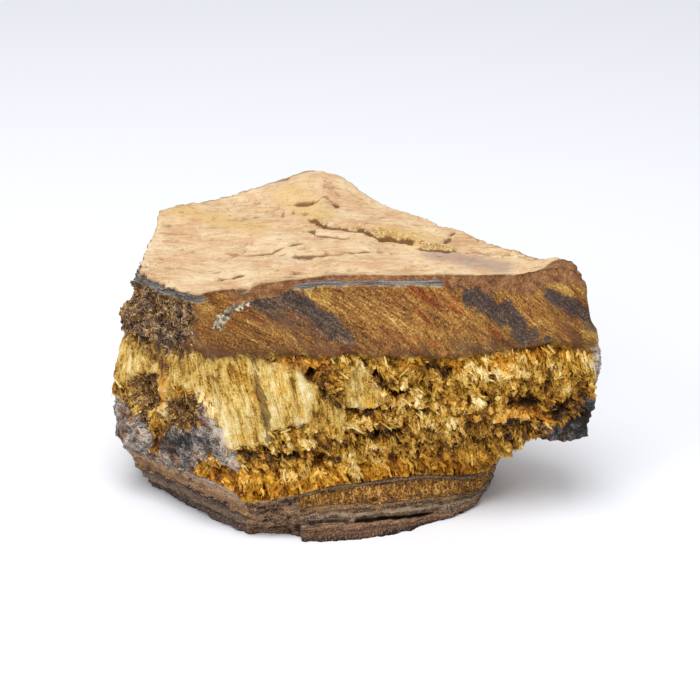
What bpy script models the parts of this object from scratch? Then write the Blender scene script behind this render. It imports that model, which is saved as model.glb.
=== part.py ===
"""A rough, banded chunk of tiger's eye as it was broken from its seam: one natural stone, one solid.

The stone lies on its ironstone foot, with its flat bedding plane on top. All lengths are in millimetres
until the mesh is made. X runs to the right along the broken front face, Y runs away from it, Z is up.
"""

import math

import bmesh
import bpy
from mathutils import Vector, noise

MM = 0.001

# Driving dimensions.
SEAM_HEIGHT = 24.0  # the middle of the golden seam
LIP_HEIGHT = 34.5  # the golden seam's top, under the dense brown bed
LIP_REACH = 0.5  # how far the dense bed stands out over the seam
RIM_HEIGHT = 47.3  # the bedding plane on top
HUMP_RISE = 4.2  # the lump at the back of the bedding plane
KNOB_RISE = 2.4  # the thicker rim at the right-hand front corner
SHEET_RISE = 1.3  # the step up to the crust's upper sheet
SHEET_GROOVE = 0.7  # the undercut that runs along the sheet's broken edge
COLUMN_WIDTH = 2.3  # the width of a facet on the wall
TOP_RINGS = 16  # rings of facets from the rim to the middle of the top
TOP_CENTRE = Vector((1.0, 22.0))
HACKLE = 1.35  # how rough the broken golden seam is
GRAIN = 0.35  # how rough the other beds are

# The outline of the stone at each level seen from above, anticlockwise from the front-left arris. Every
# outline has the same seventeen corners: eight along the front, one on the right, four along the back,
# three down the left side and one in the left face. The foot has broken away on the right, so its eighth
# corner lies well inside the seam's.
FLOOR_OUTLINE = (
    (-18.4, 2.2), (-9.2, 0.2), (0.0, 0.2), (10.0, 4.2), (19.5, 8.2), (24.0, 12.4), (26.5, 18.5),
    (28.0, 25.0), (26.0, 32.0), (5.0, 48.0), (-5.0, 55.0), (-16.0, 54.0), (-26.0, 49.5),
    (-36.0, 43.5), (-42.5, 32.0), (-38.6, 21.3), (-28.4, 11.4),
)
FOOT_OUTLINE = (
    (-19.5, 0.6), (-9.2, 2.4), (0.0, 5.2), (10.0, 8.4), (19.5, 11.6), (25.5, 14.0), (28.5, 19.0),
    (29.5, 25.0), (27.5, 32.5), (6.0, 49.5), (-5.0, 57.0), (-16.5, 56.0), (-27.0, 50.5),
    (-37.5, 45.0), (-43.5, 33.0), (-42.6, 20.0), (-31.0, 9.0),
)
UNDERCUT_OUTLINE = (
    (-20.3, 2.6), (-10.0, 3.6), (-0.5, 6.2), (10.0, 9.2), (19.5, 12.4), (26.0, 15.0), (28.5, 19.0),
    (29.5, 25.0), (28.0, 33.0), (6.5, 50.0), (-5.0, 57.5), (-16.5, 56.5), (-27.5, 51.0),
    (-38.0, 45.5), (-43.5, 33.5), (-43.4, 20.0), (-31.5, 9.0),
)
SHELF_OUTLINE = (
    (-20.8, 3.2), (-10.0, 3.8), (-0.5, 6.5), (10.0, 8.4), (20.5, 9.0), (30.0, 9.5), (36.5, 10.0),
    (42.8, 10.5), (43.0, 21.0), (9.0, 48.5), (-4.5, 58.0), (-17.0, 57.0), (-28.0, 51.5),
    (-38.5, 46.0), (-43.5, 34.0), (-43.9, 20.0), (-32.0, 9.5),
)
SEAM_OUTLINE = (
    (-22.3, 3.0), (-10.5, 3.2), (0.0, 6.0), (10.0, 6.6), (20.5, 7.0), (29.5, 7.5), (37.0, 8.0),
    (45.0, 8.5), (44.8, 20.0), (11.0, 47.0), (-4.0, 58.5), (-17.0, 57.5), (-28.0, 52.0),
    (-38.5, 46.5), (-42.5, 34.0), (-44.9, 20.0), (-33.0, 10.5),
)
LIP_OUTLINE = (
    (-24.2, 4.2), (-12.0, 5.0), (0.0, 6.0), (11.0, 6.5), (21.0, 7.2), (29.5, 8.0), (37.0, 8.7),
    (45.3, 9.5), (45.3, 18.0), (12.5, 44.5), (-3.0, 59.5), (-17.0, 58.0), (-27.5, 52.5),
    (-37.8, 46.5), (-39.5, 33.0), (-42.3, 19.0), (-31.5, 9.5),
)
RIM_OUTLINE = (
    (-27.5, 5.5), (-15.0, 11.0), (-3.6, 14.5), (11.0, 14.5), (22.0, 14.5), (29.5, 14.5), (36.0, 13.0),
    (41.8, 10.0), (39.5, 16.0), (14.5, 42.5), (-3.0, 60.5), (-17.5, 58.0), (-27.0, 54.0),
    (-37.4, 47.0), (-38.0, 31.0), (-38.4, 15.5), (-33.0, 9.0),
)
# The shelf over the gap climbs to the right and drops again behind.
SHELF_HEIGHTS = (14.0, 14.0, 14.0, 14.0, 12.0, 12.8, 17.0, 15.7, 14.0) + (13.0,) * 7 + (14.0,)

# The foot's thin beds stand out or back by turns: the height of each bed's top and how far it stands out.
FOOT_BEDS = ((2.6, 0.7), (4.6, -0.4), (6.6, 0.4), (9.0, -0.3))

# The broken front edge of the crust's upper sheet, seen from above.
SHEET_EDGE = (
    (-12.0, 45.0), (-6.8, 41.8), (-3.4, 38.8), (1.1, 35.8), (5.6, 32.8), (10.9, 30.8), (15.2, 27.0),
    (24.4, 26.0), (31.0, 24.2), (46.0, 22.0),
)

# Single lumps and hollows on the walls: where they are (x, y, z), how far they reach, how far they stand
# out of the wall (negative for a hollow).
WALL_LUMPS = (
    ((-38.5, 16.0, 22.5), 4.8, -2.8),  # the hollow in the left face
    ((-31.5, 9.5, 22.8), 3.2, -2.0),  # the smaller one beside it
    ((-41.0, 17.0, 13.0), 6.0, 1.6),  # the slate ledge under it
    ((-26.0, 8.0, 12.0), 6.0, 1.6),  # the ledge's other end
    ((-12.0, 3.0, 28.0), 7.5, 0.9),  # the smooth shoulder of straight fibres
    ((45.0, 13.0, 42.0), 5.0, 1.0),  # the knob at the right-hand corner
    ((1.5, 0.6, 0.8), 7.5, 0.8),  # the slab left under the foot
    ((-14.0, 1.6, 1.2), 3.4, -1.1),  # the hollow beside it
)

# Ledges and gullies across the front of the golden seam: lines of (x, z), how far they reach to either
# side, and how far they stand out of the wall (negative for a gully).
SEAM_LEDGES = (
    (((-20.0, 13.5), (-14.0, 12.6), (-7.0, 14.0), (0.0, 13.0)), 2.6, 0.9),  # a row of coarse crystals
    (((-21.0, 16.8), (-14.0, 17.0), (-3.0, 17.2)), 2.6, -0.9),  # the shadowed step under the shoulder
    (((-2.0, 32.4), (-1.3, 25.4)), 2.8, -1.0),  # the gully to the right of the shoulder
    (((8.0, 23.6), (8.6, 26.4), (7.0, 29.4)), 2.8, -1.0),  # the one beside the smooth facet
    (((11.0, 20.4), (15.5, 21.0), (20.0, 19.6)), 2.8, 1.0),
    (((22.4, 29.4), (26.4, 28.8)), 3.4, 1.0),
    (((22.4, 20.9), (29.0, 22.6), (36.0, 20.6)), 2.8, 1.3),  # the rusty shelf
    (((28.0, 25.6), (44.0, 24.6)), 2.8, -1.1),  # the recess over it
    (((22.6, 17.2), (32.0, 17.6)), 2.8, -1.1),  # the hollow under it
)


def mix(a, b, share):
    """The value that lies this share of the way from a to b."""
    return a + (b - a) * share


def side_steps():
    """How many facets each side of the outline is cut into, the same at every level."""
    corners = [Vector(corner) for corner in SEAM_OUTLINE]
    following = corners[1:] + corners[:1]
    return [max(2, round((b - a).length / COLUMN_WIDTH)) for a, b in zip(corners, following)]


def ring(outline, heights):
    """The points round one level, at the height given for each corner."""
    corners = [Vector((x, y, z)) for (x, y), z in zip(outline, heights)]
    following = corners[1:] + corners[:1]
    return [
        mix(a, b, step / steps)
        for a, b, steps in zip(corners, following, side_steps())
        for step in range(steps)
    ]


def outward(points):
    """The level direction out of the stone at each point of a ring."""
    behind = points[-1:] + points[:-1]
    ahead = points[1:] + points[:1]
    return [Vector((b.y - a.y, a.x - b.x, 0.0)).normalized() for a, b in zip(behind, ahead)]


def foot_bed(z):
    """How far the foot's thin bed at this height stands out."""
    for top, reach in FOOT_BEDS:
        if z < top:
            return reach
    return 0.0


def bell(distance, reach):
    """A smooth bump: 1 at the middle, near 0 past its reach."""
    return math.exp(-2.0 * (distance / reach) ** 2)


def ease(value, low, high):
    """0 below low, 1 above high and a smooth S between them."""
    share = min(1.0, max(0.0, (value - low) / (high - low)))
    return share * share * (3.0 - 2.0 * share)


def from_line(place, line):
    """The distance of a point of the front, as (x, z), from a line of straight stretches."""
    nearest = math.inf
    for a, b in zip(line, line[1:]):
        start, along = Vector(a), Vector(b) - Vector(a)
        share = min(1.0, max(0.0, (place - start).dot(along) / along.length_squared))
        nearest = min(nearest, (place - start - along * share).length)
    return nearest


def ledges(point):
    """How far the seam's ledges and gullies stand out: on the front face alone."""
    front = 1.0 - ease(point.y, 18.0, 22.0)
    place = Vector((point.x, point.z))
    return front * sum(out * bell(from_line(place, line), reach) for line, reach, out in SEAM_LEDGES)


def wall_relief(point):
    """How far the wall stands out at a point: thin beds, lumps, ledges and hollows, and broken grain."""
    seam = bell(point.z - SEAM_HEIGHT, 13.0)
    relief = foot_bed(point.z) * mix(0.5, 1.0, noise.noise(point / 14.0))
    relief += sum(bell((point - Vector(place)).length, reach) * out for place, reach, out in WALL_LUMPS)
    relief += ledges(point)
    relief += mix(GRAIN, HACKLE, seam) * noise.noise(point / 5.0)
    relief += mix(GRAIN, HACKLE, seam) * noise.noise(point / 2.7 + Vector((9.0, 4.0, 2.0)))
    return relief


def sheet_edge(x):
    """Y of the broken front edge of the crust's upper sheet at this x."""
    for (x0, y0), (x1, y1) in zip(SHEET_EDGE, SHEET_EDGE[1:]):
        if x <= x1:
            return mix(y0, y1, (x - x0) / (x1 - x0))
    return SHEET_EDGE[-1][1]


def sheet_relief(x, y):
    """The upper sheet's step and the groove along it, which fade out to both sides and to the back."""
    there = ease(x, -8.8, -6.2) * mix(1.0, 0.3, ease(x, 13.0, 20.0)) * (1.0 - ease(x, 30.0, 34.0))
    past_edge = y - sheet_edge(x)
    step = ease(past_edge, -1.5, 1.5) * (1.0 - ease(past_edge, 2.0, 14.0))
    return there * (SHEET_RISE * step - SHEET_GROOVE * bell(past_edge + 1.8, 2.8))


def top_height(x, y):
    """The height of the bedding plane: the hump, the knob at the corner, a low dip and the upper sheet."""
    place = Vector((x, y))
    height = RIM_HEIGHT
    height += HUMP_RISE * bell((place - Vector((-8.0, 58.5))).length, 14.0)
    height += KNOB_RISE * bell((place - Vector((39.0, 13.0))).length, 9.0)
    height -= 0.9 * bell((place - Vector((-33.0, 30.0))).length, 22.0)
    return height + sheet_relief(x, y) + 0.5 * noise.noise(Vector((x, y * 1.6, 0.0)) / 9.0)


def roughened(points):
    """A ring of wall points moved out and in by the relief."""
    return [point + way * wall_relief(point) for point, way in zip(points, outward(points))]


def lip_point(point, way):
    """The dense bed's lower edge over a point of the seam's top: it stands out in front only."""
    return point + way * LIP_REACH * max(0.0, -way.y) + Vector((0.0, 0.0, LIP_REACH))


def wall_rings():
    """Every ring of the wall, from just over the floor to just under the rim."""
    corners = len(FLOOR_OUTLINE)
    floor = ring(FLOOR_OUTLINE, (0.0,) * corners)
    foot = ring(FOOT_OUTLINE, (8.0,) * corners)
    undercut = ring(UNDERCUT_OUTLINE, (11.5,) * corners)
    shelf = ring(SHELF_OUTLINE, SHELF_HEIGHTS)
    seam = ring(SEAM_OUTLINE, (SEAM_HEIGHT,) * corners)
    under_lip = ring(LIP_OUTLINE, (LIP_HEIGHT,) * corners)
    lip = [lip_point(point, way) for point, way in zip(under_lip, outward(under_lip))]
    rim = ring(RIM_OUTLINE, [top_height(x, y) for x, y in RIM_OUTLINE])
    rings = []
    bands = ((floor, foot, 5), (foot, undercut, 2), (undercut, shelf, 2), (shelf, seam, 5),
             (seam, under_lip, 5), (under_lip, lip, 1), (lip, rim, 6))
    for low, high, steps in bands:
        for step in range(steps):
            points = [mix(a, b, step / steps) for a, b in zip(low, high)]
            rings.append(roughened(points))
    return rings, rim


def top_rings(rim):
    """The rings of the top, from the rim inwards, laid on the bedding plane."""
    rings = []
    for step in range(TOP_RINGS):
        flat = [mix(point.xy, TOP_CENTRE, step / TOP_RINGS) for point in rim]
        rings.append([Vector((p.x, p.y, top_height(p.x, p.y))) for p in flat])
    return rings


def stone_rings():
    """Every ring from the flat base to the middle of the top."""
    walls, rim = wall_rings()
    base = [Vector((point.x, point.y, 0.0)) for point in walls[0]]
    return [base] + walls[1:] + top_rings(rim)


def loft(mesh_data, rings):
    """A closed body: the first ring's face, extruded ring by ring up the wall and over the top."""
    bm = bmesh.new()
    column = bm.verts.layers.int.new("column")
    verts = [bm.verts.new(point) for point in rings[0]]
    for number, vert in enumerate(verts):
        vert[column] = number
    base = bm.faces.new(verts)
    edges = base.edges[:]
    for points in rings[1:]:
        made = bmesh.ops.extrude_edge_only(bm, edges=edges)["geom"]
        for vert in made:
            if isinstance(vert, bmesh.types.BMVert):
                vert.co = points[vert[column]]
        edges = [edge for edge in made if isinstance(edge, bmesh.types.BMEdge)]
    bmesh.ops.contextual_create(bm, geom=edges)
    bmesh.ops.triangulate(bm, faces=bm.faces[:])
    bmesh.ops.recalc_face_normals(bm, faces=bm.faces[:])
    bm.to_mesh(mesh_data)
    bm.free()


def centre_on_floor(mesh_data):
    """Moves the mesh so that the middle of its bounding box stands over the origin."""
    xs = [vert.co.x for vert in mesh_data.vertices]
    ys = [vert.co.y for vert in mesh_data.vertices]
    middle = Vector(((min(xs) + max(xs)) / 2.0, (min(ys) + max(ys)) / 2.0, 0.0))
    for vert in mesh_data.vertices:
        vert.co = (vert.co - middle) * MM


def tigers_eye():
    """The stone's material: golden-brown quartz with a dull, broken finish."""
    material = bpy.data.materials.new("tigers_eye")
    material.use_nodes = True
    shader = material.node_tree.nodes["Principled BSDF"]
    shader.inputs["Base Color"].default_value = (0.36, 0.19, 0.05, 1.0)
    shader.inputs["Roughness"].default_value = 0.55
    shader.inputs["Metallic"].default_value = 0.0
    return material


def stone():
    """The whole stone as one object."""
    mesh_data = bpy.data.meshes.new("stone")
    loft(mesh_data, stone_rings())
    centre_on_floor(mesh_data)
    mesh_data.materials.append(tigers_eye())
    item = bpy.data.objects.new("stone", mesh_data)
    bpy.context.scene.collection.objects.link(item)
    return item


for old in list(bpy.data.objects):
    bpy.data.objects.remove(old)
stone()
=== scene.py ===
"""The looks of a rough, banded chunk of tiger's eye, resting on a pale studio floor."""

import itertools
import math

import bpy
import numpy as np
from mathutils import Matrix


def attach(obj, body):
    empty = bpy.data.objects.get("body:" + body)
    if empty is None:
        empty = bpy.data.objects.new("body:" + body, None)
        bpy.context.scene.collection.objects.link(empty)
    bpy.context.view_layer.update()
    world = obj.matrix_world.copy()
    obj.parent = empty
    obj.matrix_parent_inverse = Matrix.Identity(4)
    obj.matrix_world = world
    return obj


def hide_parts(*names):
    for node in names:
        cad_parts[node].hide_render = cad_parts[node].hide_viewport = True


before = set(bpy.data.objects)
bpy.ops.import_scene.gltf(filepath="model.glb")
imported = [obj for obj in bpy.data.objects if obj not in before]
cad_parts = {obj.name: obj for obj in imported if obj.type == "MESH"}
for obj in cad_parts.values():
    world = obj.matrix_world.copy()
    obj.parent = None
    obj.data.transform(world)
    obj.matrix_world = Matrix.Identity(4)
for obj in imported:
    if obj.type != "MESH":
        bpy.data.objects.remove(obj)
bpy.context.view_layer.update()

# ---------------------------------------------------------------------------------------------------------
# The stone: one piece of rock, broken by hammer from a vein. Flat ironstone beds at the foot, the golden
# vein of silky quartz fibres over them, a dense brown bed of leaning fibres, a thin blue-grey band and a
# pale weathered crust on the bedding plane. Nothing is cut or polished: the rock split along its beds and
# tore across its fibres.

MM = 0.001


def scatter(cells, seed):
    """A repeatable number from 0 to 1 for each whole-numbered cell: its place, mixed bit by bit."""
    x, y, z = (cells[..., axis].astype(np.int64) for axis in range(3))
    mixed = (x * 73856093) ^ (y * 19349663) ^ (z * 83492791) ^ (seed * 2654435761)
    mixed = (mixed ^ (mixed >> 13)) * 1274126177 & 0xFFFFFFFF
    mixed = (mixed ^ (mixed >> 15)) * 2246822519 & 0xFFFFFFFF
    return ((mixed ^ (mixed >> 13)) & 0xFFFFFF) / 0xFFFFFF


def soft_noise(points, size, seed):
    """Smooth noise from -1 to 1: random values at the corners of cells of this size, eased between them."""
    place = points / size
    cell = np.floor(place)
    share = place - cell
    share = share * share * (3.0 - 2.0 * share)
    total = np.zeros(points.shape[:-1])
    for corner in itertools.product((0, 1), repeat=3):
        weight = np.prod(np.where(corner, share, 1.0 - share), axis=-1)
        total += weight * scatter(cell + corner, seed)
    return 2.0 * total - 1.0


def rough_noise(points, size, octaves, seed, keep=0.5):
    """Soft noise at ever smaller sizes, each half the last and weaker by the share it keeps."""
    total = np.zeros(points.shape[:-1])
    for octave in range(octaves):
        total += keep**octave * soft_noise(points, size / 2.0**octave, seed + 17 * octave)
    return total


def broken_facets(points, seed, tilt=0.8, fall=0.0):
    """Broken facets: space is split into cells one across round scattered seeds, and each cell gets its own
    level and its own slant, with a fall that all share along the third axis. Gives the height and how far
    the point is from the next cell."""
    cell = np.floor(points)
    nearest = np.full(points.shape[:-1], 9.0)
    second = np.full(points.shape[:-1], 9.0)
    height = np.zeros(points.shape[:-1])
    for step in itertools.product((-1, 0, 1), repeat=3):
        near = cell + step
        seeds = np.stack([scatter(near, seed + axis) for axis in range(3)], axis=-1)
        away = points - near - seeds
        distance = np.sqrt((away**2).sum(-1))
        slant = np.stack([scatter(near, seed + 5 + axis) for axis in range(3)], axis=-1) - 0.5
        level = 2.0 * scatter(near, seed + 9) - 1.0
        level += 2.0 * tilt * (away * slant).sum(-1) + fall * away[..., 2]
        closer = distance < nearest
        second = np.where(closer, nearest, np.minimum(second, distance))
        height = np.where(closer, level, height)
        nearest = np.where(closer, distance, nearest)
    return height, second - nearest


def along_fibres(points, lean, length, width):
    """Points in a frame whose third axis runs down fibres that lean this far below the level, counted in
    fibre widths across and fibre lengths along, so that cells of one there are long and thin."""
    turn = math.radians(lean)
    across = points[..., 0] * math.sin(turn) + points[..., 2] * math.cos(turn)
    down = points[..., 0] * math.cos(turn) - points[..., 2] * math.sin(turn)
    return np.stack([across / width, points[..., 1] / width, down / length], axis=-1)


# How far the fibres lean below the level, in degrees: where the vein split along them and where it tore
# across them, and in the dense bed over it.
SILKY_LEAN = 84.0
TORN_LEAN = 66.0
DENSE_LEAN = 38.0


def ease(values, low, high):
    """0 below low, 1 above high and a smooth S between them."""
    share = np.clip((values - low) / (high - low), 0.0, 1.0)
    return share * share * (3.0 - 2.0 * share)


def bell(distance, reach):
    """A smooth bump: 1 at the middle, near 0 past its reach."""
    return np.exp(-2.0 * (distance / reach) ** 2)


def from_line(across, up, line):
    """The distance of each point of a plane from a line of straight stretches."""
    nearest = np.full(np.shape(across), 1e9)
    for (x0, z0), (x1, z1) in zip(line, line[1:]):
        length2 = (x1 - x0) ** 2 + (z1 - z0) ** 2
        share = np.clip(((across - x0) * (x1 - x0) + (up - z0) * (z1 - z0)) / length2, 0.0, 1.0)
        away = np.hypot(across - x0 - share * (x1 - x0), up - z0 - share * (z1 - z0))
        nearest = np.minimum(nearest, away)
    return nearest


def inside(across, up, outline):
    """How far inside a closed outline each point of a plane lies, less than 0 outside it: the distance from
    its nearest side, with the sign from how often a level line to the right crosses the outline."""
    crossed = np.zeros(np.shape(across), dtype=bool)
    for (x0, z0), (x1, z1) in zip(outline, outline[1:] + outline[:1]):
        if z0 != z1:
            side = x0 + (up - z0) * (x1 - x0) / (z1 - z0)
            crossed ^= ((z0 > up) != (z1 > up)) & (across < side)
    away = from_line(across, up, outline + outline[:1])
    return np.where(crossed, away, -away)


FRONT_ENDS = (21.0, 25.0)  # mm behind the foremost point: where the drawn faces give way to the back


def front_share(points):
    """1 on the front and left faces, where the outlines are drawn, and 0 round the back."""
    return 1.0 - ease(points[..., 1], *FRONT_ENDS)


def back_share(points):
    """1 round the back, where patches are scattered, and 0 on the front and left faces."""
    return 1.0 - front_share(points)


def patch(points, outline, soft=1.2, wander=0.7, seed=901):
    """1 inside an outline drawn on the front and 0 outside it, with an edge this soft that wanders."""
    ragged = wander * rough_noise(points, 2.4, 4, seed, 0.62)
    return ease(inside(points[..., 0], points[..., 2], outline) + ragged, -soft, soft) * front_share(points)


def near(points, line, reach, wander=0.0):
    """A bump along a line drawn on the front: 1 on it, near 0 past its reach."""
    away = from_line(points[..., 0], points[..., 2], line) + wander * rough_noise(points, 2.2, 2, 911)
    return bell(away, reach) * front_share(points)


SEAM_HEIGHT = 24.0  # mm over the floor: the middle of the golden vein
LIP_HEIGHT = 34.5  # the vein's top
LIP_REACH = 0.5  # the dense bed stands out over the vein
RIM_HEIGHT = 47.3  # the bedding plane
HUMP_RISE = 4.2  # at the back of the bedding plane
KNOB_RISE = 2.4  # at its right corner

# Corners seen from above, anticlockwise from the front-left arris: eight along the front, one on the right,
# four along the back, three down the left side and one in the left face.
FLOOR_OUTLINE = (
    (-18.4, 2.2), (-9.2, 0.2), (0.0, 0.2), (10.0, 4.2), (19.5, 8.2), (24.0, 12.4), (26.5, 18.5),
    (28.0, 25.0), (26.0, 32.0), (5.0, 48.0), (-5.0, 55.0), (-16.0, 54.0), (-26.0, 49.5),
    (-36.0, 43.5), (-42.5, 32.0), (-38.6, 21.3), (-28.4, 11.4),
)
FOOT_OUTLINE = (
    (-19.5, 0.6), (-9.2, 2.4), (0.0, 5.2), (10.0, 8.4), (19.5, 11.6), (25.5, 14.0), (28.5, 19.0),
    (29.5, 25.0), (27.5, 32.5), (6.0, 49.5), (-5.0, 57.0), (-16.5, 56.0), (-27.0, 50.5),
    (-37.5, 45.0), (-43.5, 33.0), (-42.6, 20.0), (-31.0, 9.0),
)
UNDERCUT_OUTLINE = (
    (-20.3, 2.6), (-10.0, 3.6), (-0.5, 6.2), (10.0, 9.2), (19.5, 12.4), (26.0, 15.0), (28.5, 19.0),
    (29.5, 25.0), (28.0, 33.0), (6.5, 50.0), (-5.0, 57.5), (-16.5, 56.5), (-27.5, 51.0),
    (-38.0, 45.5), (-43.5, 33.5), (-43.4, 20.0), (-31.5, 9.0),
)
SHELF_OUTLINE = (
    (-20.8, 3.2), (-10.0, 3.8), (-0.5, 6.5), (10.0, 8.4), (20.5, 9.0), (30.0, 9.5), (36.5, 10.0),
    (42.8, 10.5), (43.0, 21.0), (9.0, 48.5), (-4.5, 58.0), (-17.0, 57.0), (-28.0, 51.5),
    (-38.5, 46.0), (-43.5, 34.0), (-43.9, 20.0), (-32.0, 9.5),
)
SEAM_OUTLINE = (
    (-22.3, 3.0), (-10.5, 3.2), (0.0, 6.0), (10.0, 6.6), (20.5, 7.0), (29.5, 7.5), (37.0, 8.0),
    (45.0, 8.5), (44.8, 20.0), (11.0, 47.0), (-4.0, 58.5), (-17.0, 57.5), (-28.0, 52.0),
    (-38.5, 46.5), (-42.5, 34.0), (-44.9, 20.0), (-33.0, 10.5),
)
LIP_OUTLINE = (
    (-24.2, 4.2), (-12.0, 5.0), (0.0, 6.0), (11.0, 6.5), (21.0, 7.2), (29.5, 8.0), (37.0, 8.7),
    (45.3, 9.5), (45.3, 18.0), (12.5, 44.5), (-3.0, 59.5), (-17.0, 58.0), (-27.5, 52.5),
    (-37.8, 46.5), (-39.5, 33.0), (-42.3, 19.0), (-31.5, 9.5),
)
RIM_OUTLINE = (
    (-27.5, 5.5), (-15.0, 11.0), (-3.6, 14.5), (11.0, 14.5), (22.0, 14.5), (29.5, 14.5), (36.0, 13.0),
    (41.8, 10.0), (39.5, 16.0), (14.5, 42.5), (-3.0, 60.5), (-17.5, 58.0), (-27.0, 54.0),
    (-37.4, 47.0), (-38.0, 31.0), (-38.4, 15.5), (-33.0, 9.0),
)
SHELF_HEIGHTS = (14.0, 14.0, 14.0, 14.0, 12.0, 12.8, 17.0, 15.7, 14.0) + (13.0,) * 7 + (14.0,)


def top_height(x, y):
    """The bedding plane's height: the hump at the back, the knob at the corner and a low dip on the left."""
    height = RIM_HEIGHT + HUMP_RISE * bell(np.hypot(x + 8.0, y - 58.5), 14.0)
    height += KNOB_RISE * bell(np.hypot(x - 39.0, y - 13.0), 9.0)
    return height - 0.9 * bell(np.hypot(x + 33.0, y - 30.0), 22.0)


def on_outline(corners, places):
    """Points on a closed outline: place 3.4 is four tenths of the way from corner 3 to corner 4."""
    before = np.floor(places).astype(int)
    share = (places - before)[:, None]
    return corners[before % len(corners)] * (1.0 - share) + corners[(before + 1) % len(corners)] * share


def level(outline, heights):
    """One level of the wall as an array of corners with their heights."""
    return np.column_stack([np.array(outline), np.broadcast_to(heights, len(outline))])


def wall_levels():
    """The levels of the wall, from the floor to the rim, each with the same corners. The lip is the vein's
    top moved out over it along the front."""
    under_lip = level(LIP_OUTLINE, LIP_HEIGHT)
    along = np.roll(under_lip, -1, axis=0) - np.roll(under_lip, 1, axis=0)
    out = np.column_stack([along[:, 1], -along[:, 0], np.zeros(len(along))])
    out /= np.linalg.norm(out, axis=1, keepdims=True)
    lip = under_lip + out * LIP_REACH * np.maximum(0.0, -out[:, 1:2]) + (0.0, 0.0, LIP_REACH)
    rim = np.array(RIM_OUTLINE)
    return np.stack([
        level(FLOOR_OUTLINE, 0.0),
        level(FOOT_OUTLINE, 8.0),
        level(UNDERCUT_OUTLINE, 11.5),
        level(SHELF_OUTLINE, SHELF_HEIGHTS),
        level(SEAM_OUTLINE, SEAM_HEIGHT),
        under_lip,
        lip,
        level(RIM_OUTLINE, top_height(rim[:, 0], rim[:, 1])),
    ])


FRONT_COLUMNS = 225  # columns of the wall along the front, and again along the back
END_COLUMNS = 75  # columns at each end
FRONT_PART = 0.405  # of the outline's length: the left face and the front
END_PARTS = (0.140, 0.115)  # the right end and the left end
BAND_ROWS = (25, 9, 12, 25, 26, 3, 36)  # rows of the wall in each band between two levels


def column_places():
    """Places of the columns round the outline, from the left corner: even steps along each of four sides."""
    corners = np.array(SEAM_OUTLINE)
    start = len(corners) - 2
    order = (np.arange(len(corners) + 1) + start) % len(corners)
    lengths = np.linalg.norm(np.diff(corners[order], axis=0), axis=1)
    length = np.concatenate([[0.0], np.cumsum(lengths)]) / lengths.sum()
    right, left = END_PARTS
    marks = np.cumsum([0.0, FRONT_PART, right, 1.0 - FRONT_PART - right - left, left])
    counts = (FRONT_COLUMNS, END_COLUMNS, FRONT_COLUMNS, END_COLUMNS)
    steps = [np.linspace(a, b, n, endpoint=False) for a, b, n in zip(marks, marks[1:], counts)]
    return np.interp(np.concatenate(steps), length, np.arange(len(corners) + 1) + start)


def wall_surface(rings):
    """The wall before it is roughened: rows from the floor to the rim, columns round the outline, each
    stretch between two levels split evenly."""
    rows = []
    for low, high, count in zip(rings, rings[1:], BAND_ROWS):
        share = np.arange(count)[:, None, None] / count
        rows.append(low * (1.0 - share) + high * share)
    return np.concatenate(rows + [rings[-1:]])


def evened(values, reach):
    """The mean over a square of neighbours on the wall: round and round its columns, up to its ends."""
    total = sum(np.roll(values, step, axis=1) for step in range(-reach, reach + 1)) / (2 * reach + 1)
    padded = np.concatenate([total[:1]] * reach + [total] + [total[-1:]] * reach)
    return sum(padded[step:step + len(values)] for step in range(2 * reach + 1)) / (2 * reach + 1)


def outward(surface, reach=2):
    """The direction out of the wall at each point: across its columns and its rows, evened out."""
    along = np.roll(surface, -2, axis=1) - np.roll(surface, 2, axis=1)
    normal = np.cross(along, np.gradient(surface, axis=0))
    normal = evened(normal / np.linalg.norm(normal, axis=-1, keepdims=True), reach)
    return normal / np.linalg.norm(normal, axis=-1, keepdims=True)


# Heights at which one bed of the foot gives way to the next, at each of these places from left to right:
# the lowest slab, the leafy grey bed, the golden-brown one and the thin grey one under the vein.
BED_PLACES = (-45.0, -38.0, -32.0, -26.0, -18.0, -4.0, 6.0, 15.0, 26.0, 34.0)
BED_TOPS = (
    (1.5, 1.6, 2.0, 1.8, 1.7, 2.9, 2.6, 1.2, 0.8, 0.8),
    (5.0, 5.3, 6.1, 5.6, 4.6, 5.8, 5.3, 4.3, 3.2, 3.2),
    (9.3, 9.2, 10.0, 9.5, 6.7, 8.1, 8.2, 7.4, 5.6, 5.6),
    (10.0, 9.8, 10.8, 10.2, 7.4, 8.9, 9.1, 8.3, 6.6, 6.6),
)


def foot_layer(points):
    """Which bed of the foot each point is in: 0 to 1 in the lowest, 4 at the vein's lower edge, and one more
    for each millimetre above that."""
    x, z = points[..., 0], points[..., 2] + 0.3 * rough_noise(points * (1.0, 1.0, 0.25), 5.0, 3, 461)
    layer = np.zeros(x.shape)
    lower = np.zeros(x.shape)
    for tops in BED_TOPS:
        upper = np.interp(x, BED_PLACES, tops)
        layer += np.clip((z - lower) / (upper - lower), 0.0, 1.0)
        lower = upper
    return layer + np.maximum(0.0, z - lower)


def block_share(points):
    """The mottled block at the foot of the arris, from the bed line up to its joint on the right."""
    x = points[..., 0] + 0.4 * rough_noise(points, 3.0, 2, 497)
    return ease(x, -19.4, -18.0) * (1.0 - ease(x, -9.9, -9.2)) * front_share(points)


FOOT_STEPS = (  # how far the beds stand out, by layer
    (0.0, 0.9, 1.0, 1.3, 1.6, 2.0, 2.1, 2.6, 3.0, 3.1, 3.9, 4.0),
    (0.0, 0.3, -0.3, 0.3, 0.0, 0.3, -0.3, 0.0, -0.3, 0.3, 0.2, -0.5),
)


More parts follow.
